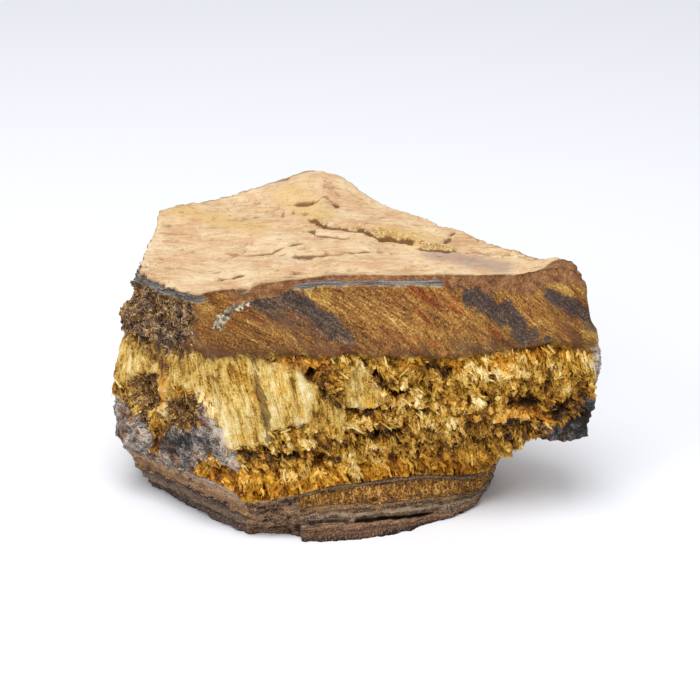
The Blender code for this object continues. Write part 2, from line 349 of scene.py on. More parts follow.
def foot_relief(points, spots):
    """The foot's beds, each of many leaves worn back by its own amount: the lowest slab stands out in front
    from a clean break, a crack opens over it, and the arris ends in a block over a hollow."""
    layer = foot_layer(points)
    x = points[..., 0]
    low = 1.0 - ease(layer, 0.85, 1.0)
    slab = low * ease(x, -9.4, -8.8) * (1.0 - ease(x, 10.0, 14.0))
    hollow = low * ease(x, -19.0, -17.0) * (1.0 - ease(x, -9.4, -8.8))
    crack = bell(layer - 0.97, 0.12) * ease(x, 0.5, 3.5) * (1.0 - ease(x, 13.0, 17.0))
    block = ease(layer, 0.9, 1.1) * block_share(points)
    relief = front_share(points) * (0.9 * slab - 1.3 * hollow - 2.4 * crack) + 0.35 * block
    relief += np.interp(layer, FOOT_STEPS[0], FOOT_STEPS[1])
    leaf = 0.16 * spots * (1.0, 1.0, 0.0) + (0.0, 0.0, 1.3) * layer[..., None]
    relief += 0.30 * rough_noise(leaf, 0.7, 4, 501, 0.7) + 0.5 * soft_noise(spots * (1.0, 1.0, 0.5), 7.0, 505)
    blocks, gap = broken_facets(spots / (3.4, 3.4, 1.5), 511)
    relief += 0.22 * blocks - 0.25 * (1.0 - ease(gap, 0.0, 0.1))
    return relief + (0.14 + 0.2 * block) * rough_noise(spots, 1.3, 3, 521, 0.7)


# Outlines and lines drawn on the front and on the left face are given as (x, height).
SILKY = (  # where the vein split along its fibres: the shoulder, a rib, the left end and a facet
    ((-37.8, 34.4), (-26.2, 34.4), (-17.9, 35.5), (-12.3, 33.2), (-9.4, 32.2), (-7.4, 30.6), (-5.4, 28.5),
     (-4.5, 26.7), (-1.8, 23.5), (-0.4, 21.4), (-5.9, 21.3), (-9.1, 22.1), (-13.7, 22.0), (-15.2, 17.6),
     (-21.6, 17.9), (-22.7, 18.8), (-25.4, 25.4), (-28.6, 27.2), (-32.4, 25.8), (-35.8, 28.4)),
    ((-36.8, 31.5), (-32.6, 31.5), (-32.6, 27.0), (-33.4, 23.0), (-34.8, 17.6), (-36.8, 17.6), (-36.6, 23.0),
     (-36.2, 27.4)),
    ((-47.0, 23.6), (-47.0, 34.4), (-41.0, 33.6), (-37.0, 31.6), (-36.6, 29.0), (-40.1, 25.8), (-43.5, 23.8)),
    ((0.2, 32.2), (2.4, 32.4), (4.6, 29.8), (6.9, 25.3), (4.8, 24.1), (0.2, 23.8), (-1.0, 26.4),
     (-0.6, 29.5)),
)


def silky_share(points):
    """Where the vein split along its fibres: the shoulder by the arris, and patches round the back."""
    back = ease(soft_noise(points, 15.0, 471), 0.1, 0.35) * back_share(points)
    return np.maximum.reduce([patch(points, outline, 0.6, 0.7) for outline in SILKY] + [back])


SLATE_LEDGES = (  # lilac-grey slate where the vein's foot broke away
    ((-36.0, 17.1), (-31.5, 19.3), (-28.2, 20.5), (-28.0, 24.0), (-28.2, 26.0), (-26.8, 26.8), (-25.0, 24.4),
     (-23.4, 20.7), (-21.6, 16.5), (-20.3, 12.4), (-22.9, 13.6), (-25.5, 15.6), (-27.0, 13.4), (-28.6, 9.8),
     (-32.6, 9.6), (-36.0, 9.4)),
    ((-47.0, 25.0), (-44.5, 21.0), (-42.9, 19.0), (-39.7, 17.7), (-36.7, 16.6), (-36.5, 9.4), (-40.0, 9.2),
     (-47.0, 9.2)),
    ((35.2, 19.0), (37.6, 19.4), (41.0, 20.0), (43.6, 22.5), (44.6, 29.0), (44.4, 36.0), (48.0, 37.0),
     (48.0, 13.5), (37.3, 14.5)),
)


def ledge_share(points):
    """Where lilac-grey slate shows at the vein's foot, in front and in patches round the back."""
    back = ease(soft_noise(points, 13.0, 491) - 0.05 * np.abs(points[..., 2] - 13.0), 0.05, 0.3)
    ledges = [patch(points, outline, 1.0, 1.2) for outline in SLATE_LEDGES]
    return np.maximum.reduce(ledges + [back * back_share(points)])


GRANULAR = (  # dark grains in the left face
    (-39.5, 47.5), (-33.3, 47.4), (-28.2, 46.6), (-27.6, 42.0), (-28.7, 37.0), (-30.5, 33.4), (-33.6, 32.0),
    (-37.4, 32.8), (-40.5, 33.8), (-47.0, 34.6), (-44.0, 39.5), (-41.0, 41.5),
)
HOLLOWS = (  # where the vein's foot crumbled out of the left face
    ((-41.9, 23.3), (-39.3, 26.2), (-36.2, 27.6), (-35.6, 24.0), (-36.4, 20.0), (-37.3, 17.0), (-40.1, 18.0),
     (-42.9, 20.3)),
    ((-33.2, 24.0), (-31.7, 25.0), (-29.0, 25.7), (-26.8, 25.4), (-27.2, 21.0), (-30.4, 18.9), (-34.4, 17.9)),
)


def grain_share(points):
    """Where the rock crumbled into grains: high in the left face and in the hollows below."""
    hollows = [patch(points, outline, 1.0, 1.2) for outline in HOLLOWS]
    return np.maximum.reduce([patch(points, GRANULAR, 1.8, 1.6)] + hollows)


def torn_relief(spots):
    """The vein torn across its fibres, like overlapping scales: plates some millimetres across, bundles of
    fibres on them and splinters on those. Each comes further out towards its lower end, so that it is lit
    from above and throws a shadow below."""
    swirl = np.stack([rough_noise(spots, 4.0, 2, 401 + axis) for axis in range(3)], axis=-1)
    plates, plate_gap = broken_facets(
        along_fibres(spots + 1.4 * swirl, TORN_LEAN - 6.0, 4.2, 2.6), 405, 0.8, 1.0)
    bundles, bundle_gap = broken_facets(
        along_fibres(spots + 1.0 * swirl, TORN_LEAN - 2.0, 3.0, 1.4), 411, 0.6, 1.1)
    splinters, gap = broken_facets(
        along_fibres(spots + 0.6 * swirl, TORN_LEAN, 2.0, 0.75), 421, 0.6, 1.0)
    relief = 0.42 * plates + 0.36 * bundles + 0.24 * splinters + 0.1 * rough_noise(spots, 1.0, 1, 431)
    relief -= 0.4 * (1.0 - ease(plate_gap, 0.0, 0.12)) + 0.35 * (1.0 - ease(bundle_gap, 0.0, 0.14))
    return relief - 0.15 * (1.0 - ease(gap, 0.0, 0.16))


def silky_relief(spots):
    """The vein split along its fibres: long strands, each a little higher or lower, with short flakes and
    fine fibres on them and hairline gaps between them."""
    strands, gap = broken_facets(along_fibres(spots, SILKY_LEAN, 12.0, 2.0), 441, 0.4)
    flakes, _ = broken_facets(along_fibres(spots, SILKY_LEAN - 2.0, 3.6, 1.2), 443, 0.6, 0.6)
    fibres = rough_noise(along_fibres(spots, SILKY_LEAN, 9.0, 0.9), 1.0, 2, 451)
    return 0.14 * fibres + 0.24 * strands + 0.16 * flakes - 0.18 * (1.0 - ease(gap, 0.0, 0.1))


SLATE_BANDS = (  # slate in the dense bed: its sharp upper edge, its soft lower one and how much they wander
    (((-20.2, 45.9), (-15.8, 46.4), (-9.4, 45.3), (-6.9, 43.5), (-3.6, 41.1), (0.0, 38.5), (1.2, 36.6)),
     ((-1.8, 36.8), (-5.8, 37.7), (-9.7, 38.9), (-13.3, 40.5), (-17.2, 43.0)), 0.4),
    (((19.1, 45.9), (23.3, 45.2), (25.8, 43.9), (28.7, 42.3), (31.5, 40.4), (34.4, 37.7), (35.8, 35.6)),
     ((31.6, 35.4), (28.7, 37.0), (25.8, 39.0), (22.9, 41.0), (20.1, 43.0)), 1.3),
    (((34.4, 46.5), (38.0, 45.5), (41.6, 43.4), (46.0, 41.0)),
     ((46.0, 37.0), (41.7, 39.4), (38.0, 41.8), (35.1, 43.8)), 0.8),
)
SLATE_WIDTH = 5.2  # mm below its upper edge, over which it fades


def slate_share(points, spots):
    """Where dark slate shows in the dense bed: slanting bands in front, sharp along their upper edge and
    fading below it, and leaning patches round the back."""
    x, z = points[..., 0], points[..., 2]
    bands = []
    for upper, lower, rough in SLATE_BANDS:
        fade = 1.25 - from_line(x, z, upper) / SLATE_WIDTH
        bands.append(patch(points, upper + lower, 0.5, rough) * np.clip(fade, 0.0, 1.0))
    back = ease(soft_noise(along_fibres(spots, DENSE_LEAN, 16.0, 6.0), 1.0, 481), 0.15, 0.5)
    return np.maximum.reduce(bands + [back * back_share(points)]) * ease(z, 34.6, 36.0)


def dense_relief(spots, below_rim):
    """The dense bed: low scarps along its leaning fibres, and the thin bands under the rim."""
    scarps, _ = broken_facets(along_fibres(spots, DENSE_LEAN, 5.0, 2.0), 531, 0.5)
    relief = 0.10 * rough_noise(along_fibres(spots, DENSE_LEAN, 5.0, 1.2), 1.0, 3, 541) + 0.2 * scarps
    relief += 0.4 * rough_noise(spots, 9.0, 2, 551) + 0.12 * rough_noise(spots, 1.2, 2, 561)
    relief += 0.25 * (bell(below_rim, 0.35) - bell(below_rim - 0.6, 0.25) + bell(below_rim - 1.7, 0.3))
    return relief + (1.0 - ease(below_rim, 0.0, 2.5)) * 0.35 * rough_noise(spots, 4.0, 3, 571)


# Single lumps and hollows of the walls: the place, the reach and how far it stands out.
WALL_LUMPS = (
    ((-38.5, 16.0, 22.5), 4.6, -2.6),
    ((-31.5, 9.5, 22.8), 2.6, -1.8),
    ((-34.4, 11.6, 25.6), 1.5, 1.5),
    ((-35.3, 12.4, 21.2), 1.5, 1.5),
    ((-41.0, 17.0, 13.0), 6.0, 1.6),
    ((-26.0, 8.0, 12.0), 6.0, 1.6),
    ((-12.0, 3.0, 28.0), 7.5, 0.9),
    ((-39.6, 16.4, 44.6), 1.1, 1.8),
    ((-40.6, 18.0, 38.5), 2.0, 1.3),
    ((44.6, 11.0, 37.5), 2.4, 0.8),
    ((41.0, 10.0, 46.0), 3.0, 0.8),
)

# Ledges and hollows across the torn vein, as lines of (x, height) with their reach and how far they stand
# out. What stands out is also painted paler, a painted highlight, and what is sunk is painted darker, a
# painted shade.
FOLDS = (
    (((24.0, 33.2), (34.0, 32.8), (43.0, 32.8)), 1.8, 0.8),
    (((22.4, 30.4), (27.4, 29.4)), 2.6, 1.3),
    (((19.6, 24.2), (22.6, 25.2)), 1.4, 1.7),
    (((9.3, 30.2), (9.0, 28.6)), 1.5, 0.7),
    (((9.4, 25.0), (12.6, 26.0)), 1.6, 1.1),
    (((11.0, 20.4), (15.5, 21.0), (20.0, 19.6)), 1.7, 1.1),
    (((29.2, 29.6), (34.0, 29.0), (39.0, 28.8)), 2.0, 0.9),
    (((22.4, 20.9), (25.0, 22.3), (29.0, 22.6), (33.0, 22.6), (36.0, 20.6)), 1.2, 1.5),
    (((-12.8, 17.7), (-9.2, 17.5), (-5.9, 17.7), (-2.8, 17.9)), 0.8, 1.2),
    (((-12.2, 12.0), (-9.2, 12.4), (-5.6, 11.6)), 1.2, 1.0),
    (((-20.0, 12.6), (-15.0, 11.8)), 1.2, 0.6),
    (((-3.0, 19.4), (3.0, 20.6), (7.6, 20.2)), 1.1, 0.8),
    (((-6.5, 31.3), (-5.1, 29.5), (-3.6, 27.8), (-1.5, 25.4), (1.1, 23.2)), 1.5, -1.7),
    (((1.1, 23.2), (2.9, 23.0), (5.1, 23.4), (7.4, 24.0)), 0.8, -1.6),
    (((4.7, 30.6), (6.2, 28.3), (8.0, 26.3), (9.6, 27.2)), 1.1, -1.4),
    (((32.0, 24.2), (37.0, 23.0), (43.5, 22.4)), 2.1, -1.2),
    (((12.0, 32.4), (16.0, 31.8), (20.0, 32.8)), 1.4, -0.9),
    (((14.0, 28.4), (15.0, 23.6)), 1.3, -1.0),
    (((1.6, 18.6), (5.5, 18.0), (10.0, 18.6)), 1.6, -1.0),
    (((2.0, 18.0), (2.4, 11.5)), 0.45, -0.9),
    (((5.0, 18.0), (5.4, 12.0)), 0.45, -0.9),
    (((8.2, 18.5), (8.8, 12.0)), 0.45, -0.9),
    (((22.6, 17.6), (27.0, 17.0), (32.0, 18.6)), 2.4, -1.4),
    (((13.0, 15.0), (17.0, 15.8), (21.0, 14.2)), 1.4, -0.7),
    (((-21.0, 16.4), (-15.0, 16.2)), 0.9, -1.3),
    (((-10.6, 15.6), (-7.7, 14.9), (-5.0, 14.2)), 1.2, -1.4),
    (((-13.3, 18.0), (-13.2, 13.0), (-13.2, 8.6)), 0.5, -1.3),
    (((-17.5, 34.0), (-16.9, 30.6), (-15.9, 27.0), (-15.2, 23.0), (-14.9, 19.0)), 0.5, -0.5),
)


DENSE_STARTS = (34.0, 34.8)  # mm over the floor: where the vein gives way to the dense bed


def wall_relief(points, spots, below_rim):
    """How far the wall stands out: its lumps, then each bed broken in its own way; round the back the rim
    doesn't hang over. Also gives the share of torn vein at each point and how far its folds stand out."""
    relief = np.zeros(points.shape[:2])
    for place, reach, out in WALL_LUMPS:
        relief += out * bell(np.linalg.norm(points - place, axis=-1), reach)
    broken = np.clip(0.8 + 1.3 * rough_noise(points, 2.6, 2, 577), 0.0, 1.7)
    folds = broken * sum(out * near(points, line, 1.2 * reach, 1.1) for line, reach, out in FOLDS)
    folds += back_share(points) * 0.9 * rough_noise(points, 6.0, 2, 581)
    z = points[..., 2] + 0.7 * rough_noise(points, 5.0, 3, 583, 0.6)
    foot = 1.0 - ease(foot_layer(points), 3.8, 4.0)
    dense = ease(z, *DENSE_STARTS)
    vein = (1.0 - foot) * (1.0 - dense)
    silky = silky_share(points)
    ledges = ledge_share(points)
    torn = vein * (1.0 - silky) * (1.0 - 0.7 * ledges)
    relief += 0.95 * vein * folds * (1.0 - 0.6 * silky)
    relief += torn * torn_relief(spots) + vein * silky * silky_relief(spots)
    slabs, _ = broken_facets(spots / (2.6, 2.6, 1.8), 593, 0.7)
    relief += vein * ledges * (0.5 + 0.5 * rough_noise(spots, 2.5, 3, 591, 0.65) + 0.3 * slabs)
    relief += foot * foot_relief(points, spots) + dense * dense_relief(spots, below_rim)
    grains, _ = broken_facets(spots / 1.1, 595)
    relief += grain_share(points) * (0.5 * rough_noise(spots, 2.2, 3, 597) + 0.4 * grains)
    under_rim = back_share(points) * (1.0 - ease(below_rim, 0.0, 3.0))
    return relief + under_rim * (relief[-1:] - relief), torn, folds


# Lines on the bedding plane, as (x, y), with half their width and their depth.
CRUST_CRACKS = (
    (((-11.0, 24.0), (-5.6, 23.8), (-0.9, 24.1), (1.5, 24.6), (3.4, 25.8)), 0.35, 0.5),
    (((-18.9, 25.4), (-14.6, 25.8), (-12.4, 27.7), (-9.3, 29.8)), 0.45, 0.7),
    (((-23.4, 12.6), (-21.4, 13.0), (-19.8, 14.5)), 0.55, 1.3),
    (((-20.0, 8.2), (-17.9, 9.0), (-16.0, 9.6)), 0.6, 1.5),
    (((-9.3, 17.4), (-5.5, 18.0), (-1.6, 17.4)), 0.25, 0.25),
    (((-34.0, 18.4), (-31.5, 18.8), (-29.2, 18.2)), 0.3, 0.35),
    (((20.0, 36.0), (18.8, 33.0), (17.6, 29.0)), 0.5, 0.6),
    (((-10.0, 48.5), (-7.4, 48.2), (-4.9, 50.6), (-2.6, 47.8)), 0.6, 0.7),
    (((25.6, 23.2), (28.0, 22.6), (31.0, 22.0)), 0.4, 1.1),
    (((-28.0, 16.8), (-24.0, 16.4), (-20.0, 17.0)), 0.25, 0.25),
    (((-7.4, 37.0), (-6.2, 34.6), (-3.6, 33.2), (-0.8, 31.6)), 0.5, 0.8),
)
SHEET_EDGE = (  # the broken front edge of the crust's upper sheet
    (-12.0, 45.0), (-6.8, 41.8), (-3.4, 38.8), (1.1, 35.8), (5.6, 32.8), (10.9, 30.8), (15.2, 27.0),
    (24.4, 26.0), (31.0, 24.2), (40.0, 22.0),
)
SHEET_RISE = 1.0  # mm: the upper sheet over the lower one
SHEET_GROOVE = 1.0  # mm: the crack in front of its edge


def flakes(flat, size, seed):
    """Thin flaked sheets: soft noise cut into whole steps, each with a short slope at its edge."""
    swell = 1.5 * rough_noise(flat / (1.9, 1.0, 1.0), size, 4, seed, 0.6)
    return np.floor(swell) + ease(swell - np.floor(swell), 0.0, 0.14)


def crust_relief(x, y):
    """The bedding plane close to: low swells, flaked sheets, the main sheet's broken edge, which fades to
    the right and to the back, cracks, and grain running from left to right."""
    flat = np.stack([x, y, np.zeros_like(x)], axis=-1)
    relief = 0.3 * rough_noise(flat, 13.0, 2, 301) + 0.26 * flakes(flat, 9.0, 305)
    edge = y - np.interp(x, *np.transpose(SHEET_EDGE)) + 1.1 * rough_noise(flat, 2.6, 4, 311, 0.65)
    there = ease(x, -8.8, -6.2) * (1.0 - 0.7 * ease(x, 13.0, 20.0)) * (1.0 - ease(x, 30.0, 34.0))
    relief += there * SHEET_RISE * ease(edge, -0.3, 0.7) * (1.0 - ease(edge, 2.0, 14.0))
    relief -= there * SHEET_GROOVE * bell(edge + 0.5, 0.8) * (0.75 + 0.5 * rough_noise(flat, 4.0, 2, 313))
    relief += there * 0.36 * bell(edge - 0.8, 1.8) * rough_noise(flat, 1.3, 4, 321, 0.7)
    front = np.interp(x, (-19.0, -11.0, 3.4, 8.0), (25.6, 24.0, 25.4, 27.5))
    behind = y - front + 0.4 * rough_noise(flat, 1.5, 2, 325)
    shown = ease(x, -20.0, -14.0) * (1.0 - ease(x, 3.0, 7.0)) * (1.0 - ease(behind, 4.0, 13.0))
    relief += 0.6 * ease(behind, 0.0, 0.5) * shown
    for line, width, depth in CRUST_CRACKS:
        wander = 0.35 * soft_noise(flat, 1.7, 331)
        relief -= depth * bell(from_line(x, y, line) + wander, 1.6 * width)
    relief += 0.08 * rough_noise(flat / (6.0, 1.0, 1.0), 1.1, 3, 341)
    relief += 0.07 * rough_noise(flat, 0.9, 2, 351)
    pits = ease(soft_noise(flat, 1.1, 361) + 0.5 * soft_noise(flat, 6.0, 363), 0.72, 1.0)
    return relief - 0.25 * pits


def top_patch(rim):
    """The plan of the top: each point is carried from the four sides of the rim towards the far side."""
    n, m = FRONT_COLUMNS, END_COLUMNS
    front, right = rim[:n + 1], rim[n:n + m + 1]
    back = rim[n + m:2 * n + m + 1][::-1]
    left = np.concatenate([rim[2 * n + m:], rim[:1]])[::-1]
    s = np.linspace(0.0, 1.0, n + 1)[None, :, None]
    t = np.linspace(0.0, 1.0, m + 1)[:, None, None]
    sides = (1 - t) * front[None] + t * back[None] + (1 - s) * left[:, None] + s * right[:, None]
    corners = (1 - s) * (1 - t) * front[0] + s * (1 - t) * front[-1]
    return sides - corners - (1 - s) * t * back[0] - s * t * back[-1]


def numbered_top(rim_start):
    """Vertex numbers of the top's grid: its edge is the wall's last row, its middle is new."""
    n, m = FRONT_COLUMNS, END_COLUMNS
    numbers = np.empty((m + 1, n + 1), dtype=np.int64)
    ring = rim_start + np.arange(2 * (n + m))
    numbers[0] = ring[:n + 1]
    numbers[:, -1] = ring[n:n + m + 1]
    numbers[-1] = ring[n + m:2 * n + m + 1][::-1]
    numbers[:, 0] = np.append(ring[2 * n + m:], ring[0])[::-1]
    numbers[1:-1, 1:-1] = ring[-1] + 1 + np.arange((m - 1) * (n - 1)).reshape(m - 1, n - 1)
    return numbers


def quads(numbers):
    """Faces of a grid of vertex numbers, each anticlockwise from its lower left corner."""
    corners = (numbers[:-1, :-1], numbers[:-1, 1:], numbers[1:, 1:], numbers[1:, :-1])
    return np.stack(corners, -1).reshape(-1, 4)


MIDDLE = (-0.076, 29.844)  # the middle of the stone's box on the plan that the outlines are drawn on


def mesh_piece(name, points, faces, values, smooth):
    """An object from points in millimetres on the outlines' plan, its faces, its values at each point, one
    number or three of them, and which of its faces are smooth."""
    mesh = bpy.data.meshes.new(name)
    mesh.from_pydata(((points - (*MIDDLE, 0.0)) * MM).tolist(), [], faces)
    for label, value in values.items():
        kind, field = ("FLOAT", "value") if value.ndim == 1 else ("FLOAT_VECTOR", "vector")
        held = mesh.attributes.new(label, kind, "POINT")
        held.data.foreach_set(field, value.astype(np.float32).ravel())
    mesh.polygons.foreach_set("use_smooth", np.broadcast_to(smooth, len(faces)).astype(bool))
    mesh.validate()
    piece = bpy.data.objects.new(name, mesh)
    bpy.context.scene.collection.objects.link(piece)
    return piece


SWAY_REACH = 5.0  # mm up and down from the lip, which wanders along the stone
FLOOR_GAP = 0.02  # mm: only the base touches the floor
RIM_GAP = 0.05  # mm: the wall ends under the rim

rings = np.stack([on_outline(corners, column_places()) for corners in wall_levels()])
plain_wall = wall_surface(rings)
below_rim = plain_wall[-1:, :, 2] - plain_wall[..., 2]

# Patterns are laid on an upright wall over the vein's outline, so that fibres follow the leaning faces. Where
# the wall runs nearly level, under the overhang, they move back by its run, so that they aren't smeared.
wall_spots = plain_wall.copy()
wall_spots[..., :2] = rings[4, :, :2]
steps = np.diff(plain_wall, axis=0)
level_run = np.maximum(0.0, np.linalg.norm(steps, axis=-1) - 2.0 * np.abs(steps[..., 2]))
wall_spots[:-1, :, 1] += np.cumsum(level_run[::-1], axis=0)[::-1]
relief, torn, folds = wall_relief(plain_wall, wall_spots, below_rim)
wall_spots[..., 1] -= relief
wall = plain_wall + outward(plain_wall) * relief[..., None]
sway = rough_noise(wall_spots * (1.0, 1.0, 0.0), 9.0, 3, 601)
wall[..., 2] += sway * bell(plain_wall[..., 2] - LIP_HEIGHT, SWAY_REACH)
wall[0, :, 2] = 0.0
wall[1:, :, 2] = np.maximum(wall[1:, :, 2], FLOOR_GAP)
wall[-1, :, 2] = top_height(wall[-1, :, 0], wall[-1, :, 1]) + crust_relief(wall[-1, :, 0], wall[-1, :, 1])
wall[:-1, :, 2] = np.minimum(wall[:-1, :, 2], wall[-1:, :, 2] - RIM_GAP)
top = top_patch(wall[-1])
top_relief = crust_relief(top[..., 0], top[..., 1])
top[..., 2] = top_height(top[..., 0], top[..., 1]) + top_relief

columns = wall.shape[1]
wall_numbers = np.arange(wall.shape[0] * columns).reshape(wall.shape[:2])
wall_faces = quads(np.concatenate([wall_numbers, wall_numbers[:, :1]], axis=1))
top_faces = quads(numbered_top(wall_numbers[-1, 0]))
base_face = wall_numbers[0, ::-1].tolist()
points = np.concatenate([wall.reshape(-1, 3), top[1:-1, 1:-1].reshape(-1, 3)])
faces = wall_faces.tolist() + top_faces.tolist() + [base_face]


def at_points(on_wall, on_top):
    """Values for every point of the stone: those of the wall, then those of the top's middle."""
    on_top = np.broadcast_to(on_top, top.shape[:2] + on_wall.shape[2:])[1:-1, 1:-1]
    return np.concatenate([part.reshape(-1, *on_wall.shape[2:]) for part in (on_wall, on_top)])


RUST_DEPTHS = (  # how far down from the rim the rock rusted, in mm, at each x
    (-46.0, -30.0, -23.0, -20.5, -18.0, -12.0, -9.0, 16.0, 20.0, 31.0, 34.5, 43.0),
    (0.25, 0.25, 0.4, 2.4, 2.8, 2.2, 0.9, 0.9, 2.2, 3.4, 3.0, 1.6),
)


def rust_share(points, below_rim):
    """Where the rock rusted brown: a thin line under the rim, a thick one on the right, and the patch left
    of the slate."""
    depth = np.interp(points[..., 0], RUST_DEPTHS[0], RUST_DEPTHS[1])
    ragged = (0.12 + 0.3 * depth) * rough_noise(points, 2.5, 4, 611, 0.6)
    return 1.0 - ease(below_rim + ragged, depth - 0.25 * depth, depth + 0.15 + 0.25 * depth)


def banded_share(points):
    """Where the thin grey and cream bands show under the crust: in the left corner and in the middle of the
    front, and in stretches round the back."""
    x = points[..., 0]
    front = np.maximum(ease(x, -12.5, -8.0) * (1.0 - ease(x, 15.0, 19.5)), 1.0 - ease(x, -30.0, -23.0))
    back = ease(soft_noise(points, 12.0, 617), -0.3, 0.1)
    return front_share(points) * front + back_share(points) * back


# Where the vein's fibres are painted paler or darker: a line, its reach and how much paler they are. The
# darker lines along the folds' hollows and gullies and under ledges are painted shade, and paler ones on
# ledges are partly painted light; the rest are the fibres' own paler or duller colour.
SHADES = (
    (((24.0, 33.0), (34.0, 32.6), (43.0, 32.4)), 3.0, 0.14),
    (((22.5, 30.6), (27.5, 29.4)), 3.2, 0.12),
    (((31.0, 25.0), (37.0, 24.0), (43.0, 23.4)), 4.0, -0.2),
    (((40.8, 29.5), (43.5, 27.5), (42.5, 18.0)), 2.6, -0.14),
    (((24.0, 18.0), (33.0, 18.4)), 2.8, -0.18),
    (((-6.2, 31.4), (-3.6, 27.8), (-0.4, 24.6)), 2.2, -0.18),
    (((1.3, 18.6), (5.5, 17.6), (10.0, 18.4)), 3.0, -0.14),
    (((-0.7, 11.6), (1.5, 14.2), (3.4, 11.4)), 2.2, 0.16),
    (((-12.2, 12.0), (-5.6, 11.6)), 1.6, 0.12),
    (((-10.6, 15.6), (-5.0, 14.2)), 1.4, -0.14),
    (((-20.5, 15.4), (-14.7, 14.4)), 2.4, -0.14),
    (((-18.0, 10.6), (-4.0, 11.0), (10.0, 11.2), (24.0, 10.0)), 2.2, 0.14),
    (((-42.0, 32.6), (-37.6, 31.2), (-34.6, 30.0)), 0.9, -0.22),
    (((-46.0, 19.0), (-38.0, 14.6)), 3.0, 0.14),
    (((-35.0, 15.0), (-30.0, 16.5)), 3.0, -0.26),
    (((45.0, 36.0), (45.0, 27.0)), 2.6, 0.2),
    (((-27.0, 25.5), (-24.0, 21.0), (-21.0, 14.0)), 2.6, 0.42),
    (((38.0, 17.0), (46.0, 21.0)), 4.0, -0.2),
    (((-36.0, 31.0), (-28.0, 31.0), (-20.0, 31.0)), 4.0, -0.22),
    (((-40.0, 34.4), (-28.0, 34.0)), 2.4, -0.14),
    (((-22.5, 24.0), (-20.0, 20.0)), 3.2, 0.04),
    (((1.5, 31.0), (4.0, 26.0)), 2.4, -0.1),
    (((-18.0, 18.6), (-4.0, 19.0), (14.0, 18.0)), 3.0, 0.06),
)


def tone_with_painted_shade(lifted, torn, folds, points):
    """How light the vein's fibres are, 0.5 in the middle: a painted highlight where they stand out, painted
    shade in hollows, and the paler and darker lines above.
    """
    # folds and lifted: painted highlight on what stands out, painted shade on what is sunk
    tone = 0.46 + 0.13 * np.clip(folds, -1.4, 1.0) * torn + 0.26 * lifted * torn
    tone += 0.08 * rough_noise(points, 3.0, 3, 621) * torn
    tone += (1.0 - torn) * (0.05 * rough_noise(points, 5.0, 2, 623) + 0.25 * lifted + 0.05)
    tone += sum(paler * near(points, line, reach, 0.8) for line, reach, paler in SHADES)
    return np.clip(tone, 0.0, 1.0)


# On the bedding plane, as (x, y): the bare knob at the right corner, and where the crust is stained.
KNOB_OUTLINE = ((34.0, 12.0), (35.6, 14.6), (38.4, 17.2), (44.0, 18.0), (45.0, 8.0), (36.0, 10.0))
YELLOWED = (
    ((-33.0, 47.0), (-26.0, 43.0), (-18.5, 38.5)),
    ((-12.0, 52.0), (-6.0, 43.0)),
    ((8.0, 34.0), (14.0, 31.0)),
)
LILAC = (((17.0, 24.0), (27.0, 17.6)),)
STAIN_REACH = 4.5

AMBER = (  # fibres rusted redder: a rib in the left face, along the lip and along a ridge on the right
    ((-34.4, 30.5), (-34.4, 26.0), (-35.8, 18.0)),
    ((-12.3, 33.4), (-4.0, 33.5)),
    ((20.5, 21.6), (25.0, 22.6), (33.0, 22.8), (36.0, 21.0)),
)
YELLOW_LIP = ((6.0, 33.2), (24.0, 33.0), (43.0, 32.6))  # fibres bleached yellow under the lip
YELLOW_FOOT = 10.5  # mm over the floor: and along the vein's foot
ARC = (  # pale quartz in the dense bed
    (-24.0, 40.7), (-23.2, 42.0), (-21.9, 43.3), (-20.0, 44.2), (-18.2, 44.2),
)
GOLD_PATCHES = (  # where the dense bed is golden
    ((-12.3, 45.3), (-9.0, 45.7), (-3.2, 45.0), (-4.6, 42.6), (-8.6, 45.0)),
    ((33.7, 47.4), (37.2, 47.8), (40.8, 45.6), (40.4, 43.6), (36.8, 45.6)),
    ((42.4, 39.6), (46.5, 41.0), (46.5, 34.6), (43.6, 34.2), (42.0, 37.0)),
)
GREY_VEIN = FOLDS[-1][0]  # blue-grey fibres show in that last hollow

MEAN_REACH = 4  # points to each side, over which the relief is evened to see what stands out
padded = np.pad(top_relief, MEAN_REACH, mode="edge")
spans = range(2 * MEAN_REACH + 1)
top_mean = sum(padded[i:i + top.shape[0], j:j + top.shape[1]] for i in spans for j in spans) / len(spans)**2
crust_share = 1.0 - ease(inside(top[..., 0], top[..., 1], KNOB_OUTLINE), -0.3, 0.5)
crust_rim = np.zeros(relief.shape)
crust_rim[-1] = 1.0 - ease(inside(wall[-1, :, 0], wall[-1, :, 1], KNOB_OUTLINE), -0.3, 0.5)
# lifted: how far the relief stands out of its neighbours, which drives painted highlight and painted shade
lifted = relief - evened(relief, MEAN_REACH)
tone = tone_with_painted_shade(lifted, torn, folds, plain_wall)
silky = silky_share(plain_wall)
ledges = ledge_share(plain_wall)
grainy_wall = grain_share(plain_wall)
amber = np.clip(sum(near(plain_wall, line, 1.1, 0.7) for line in AMBER), 0.0, 1.0)
yellow = bell(plain_wall[..., 2] - YELLOW_FOOT, 4.0) * front_share(plain_wall)
yellow = np.maximum(yellow, 0.55 * near(plain_wall, YELLOW_LIP, 2.6))
plan = np.stack([top[..., 0], top[..., 1], 1.5 * top_relief], axis=-1)
behind_edge = top[..., 1] - np.interp(top[..., 0], *np.transpose(SHEET_EDGE))
behind_edge += 0.8 * rough_noise(plan, 2.0, 3, 631)
broken_edge = 0.9 * bell(behind_edge - 0.6, 1.5)
broken_edge *= ease(top[..., 0], -4.0, 3.0) * (1.0 - ease(top[..., 0], 17.0, 24.0))
yellowed, lilac = (
    np.clip(sum(bell(from_line(top[..., 0], top[..., 1], line), STAIN_REACH) for line in lines), 0.0, 1.0)
    for lines in (YELLOWED, LILAC)
)
nowhere = np.zeros(relief.shape)
TOP_HEIGHT, TOP_LAYER, TOP_DEPTH = 60.0, 9.0, 3.0  # on the top: past every bed and band of the wall
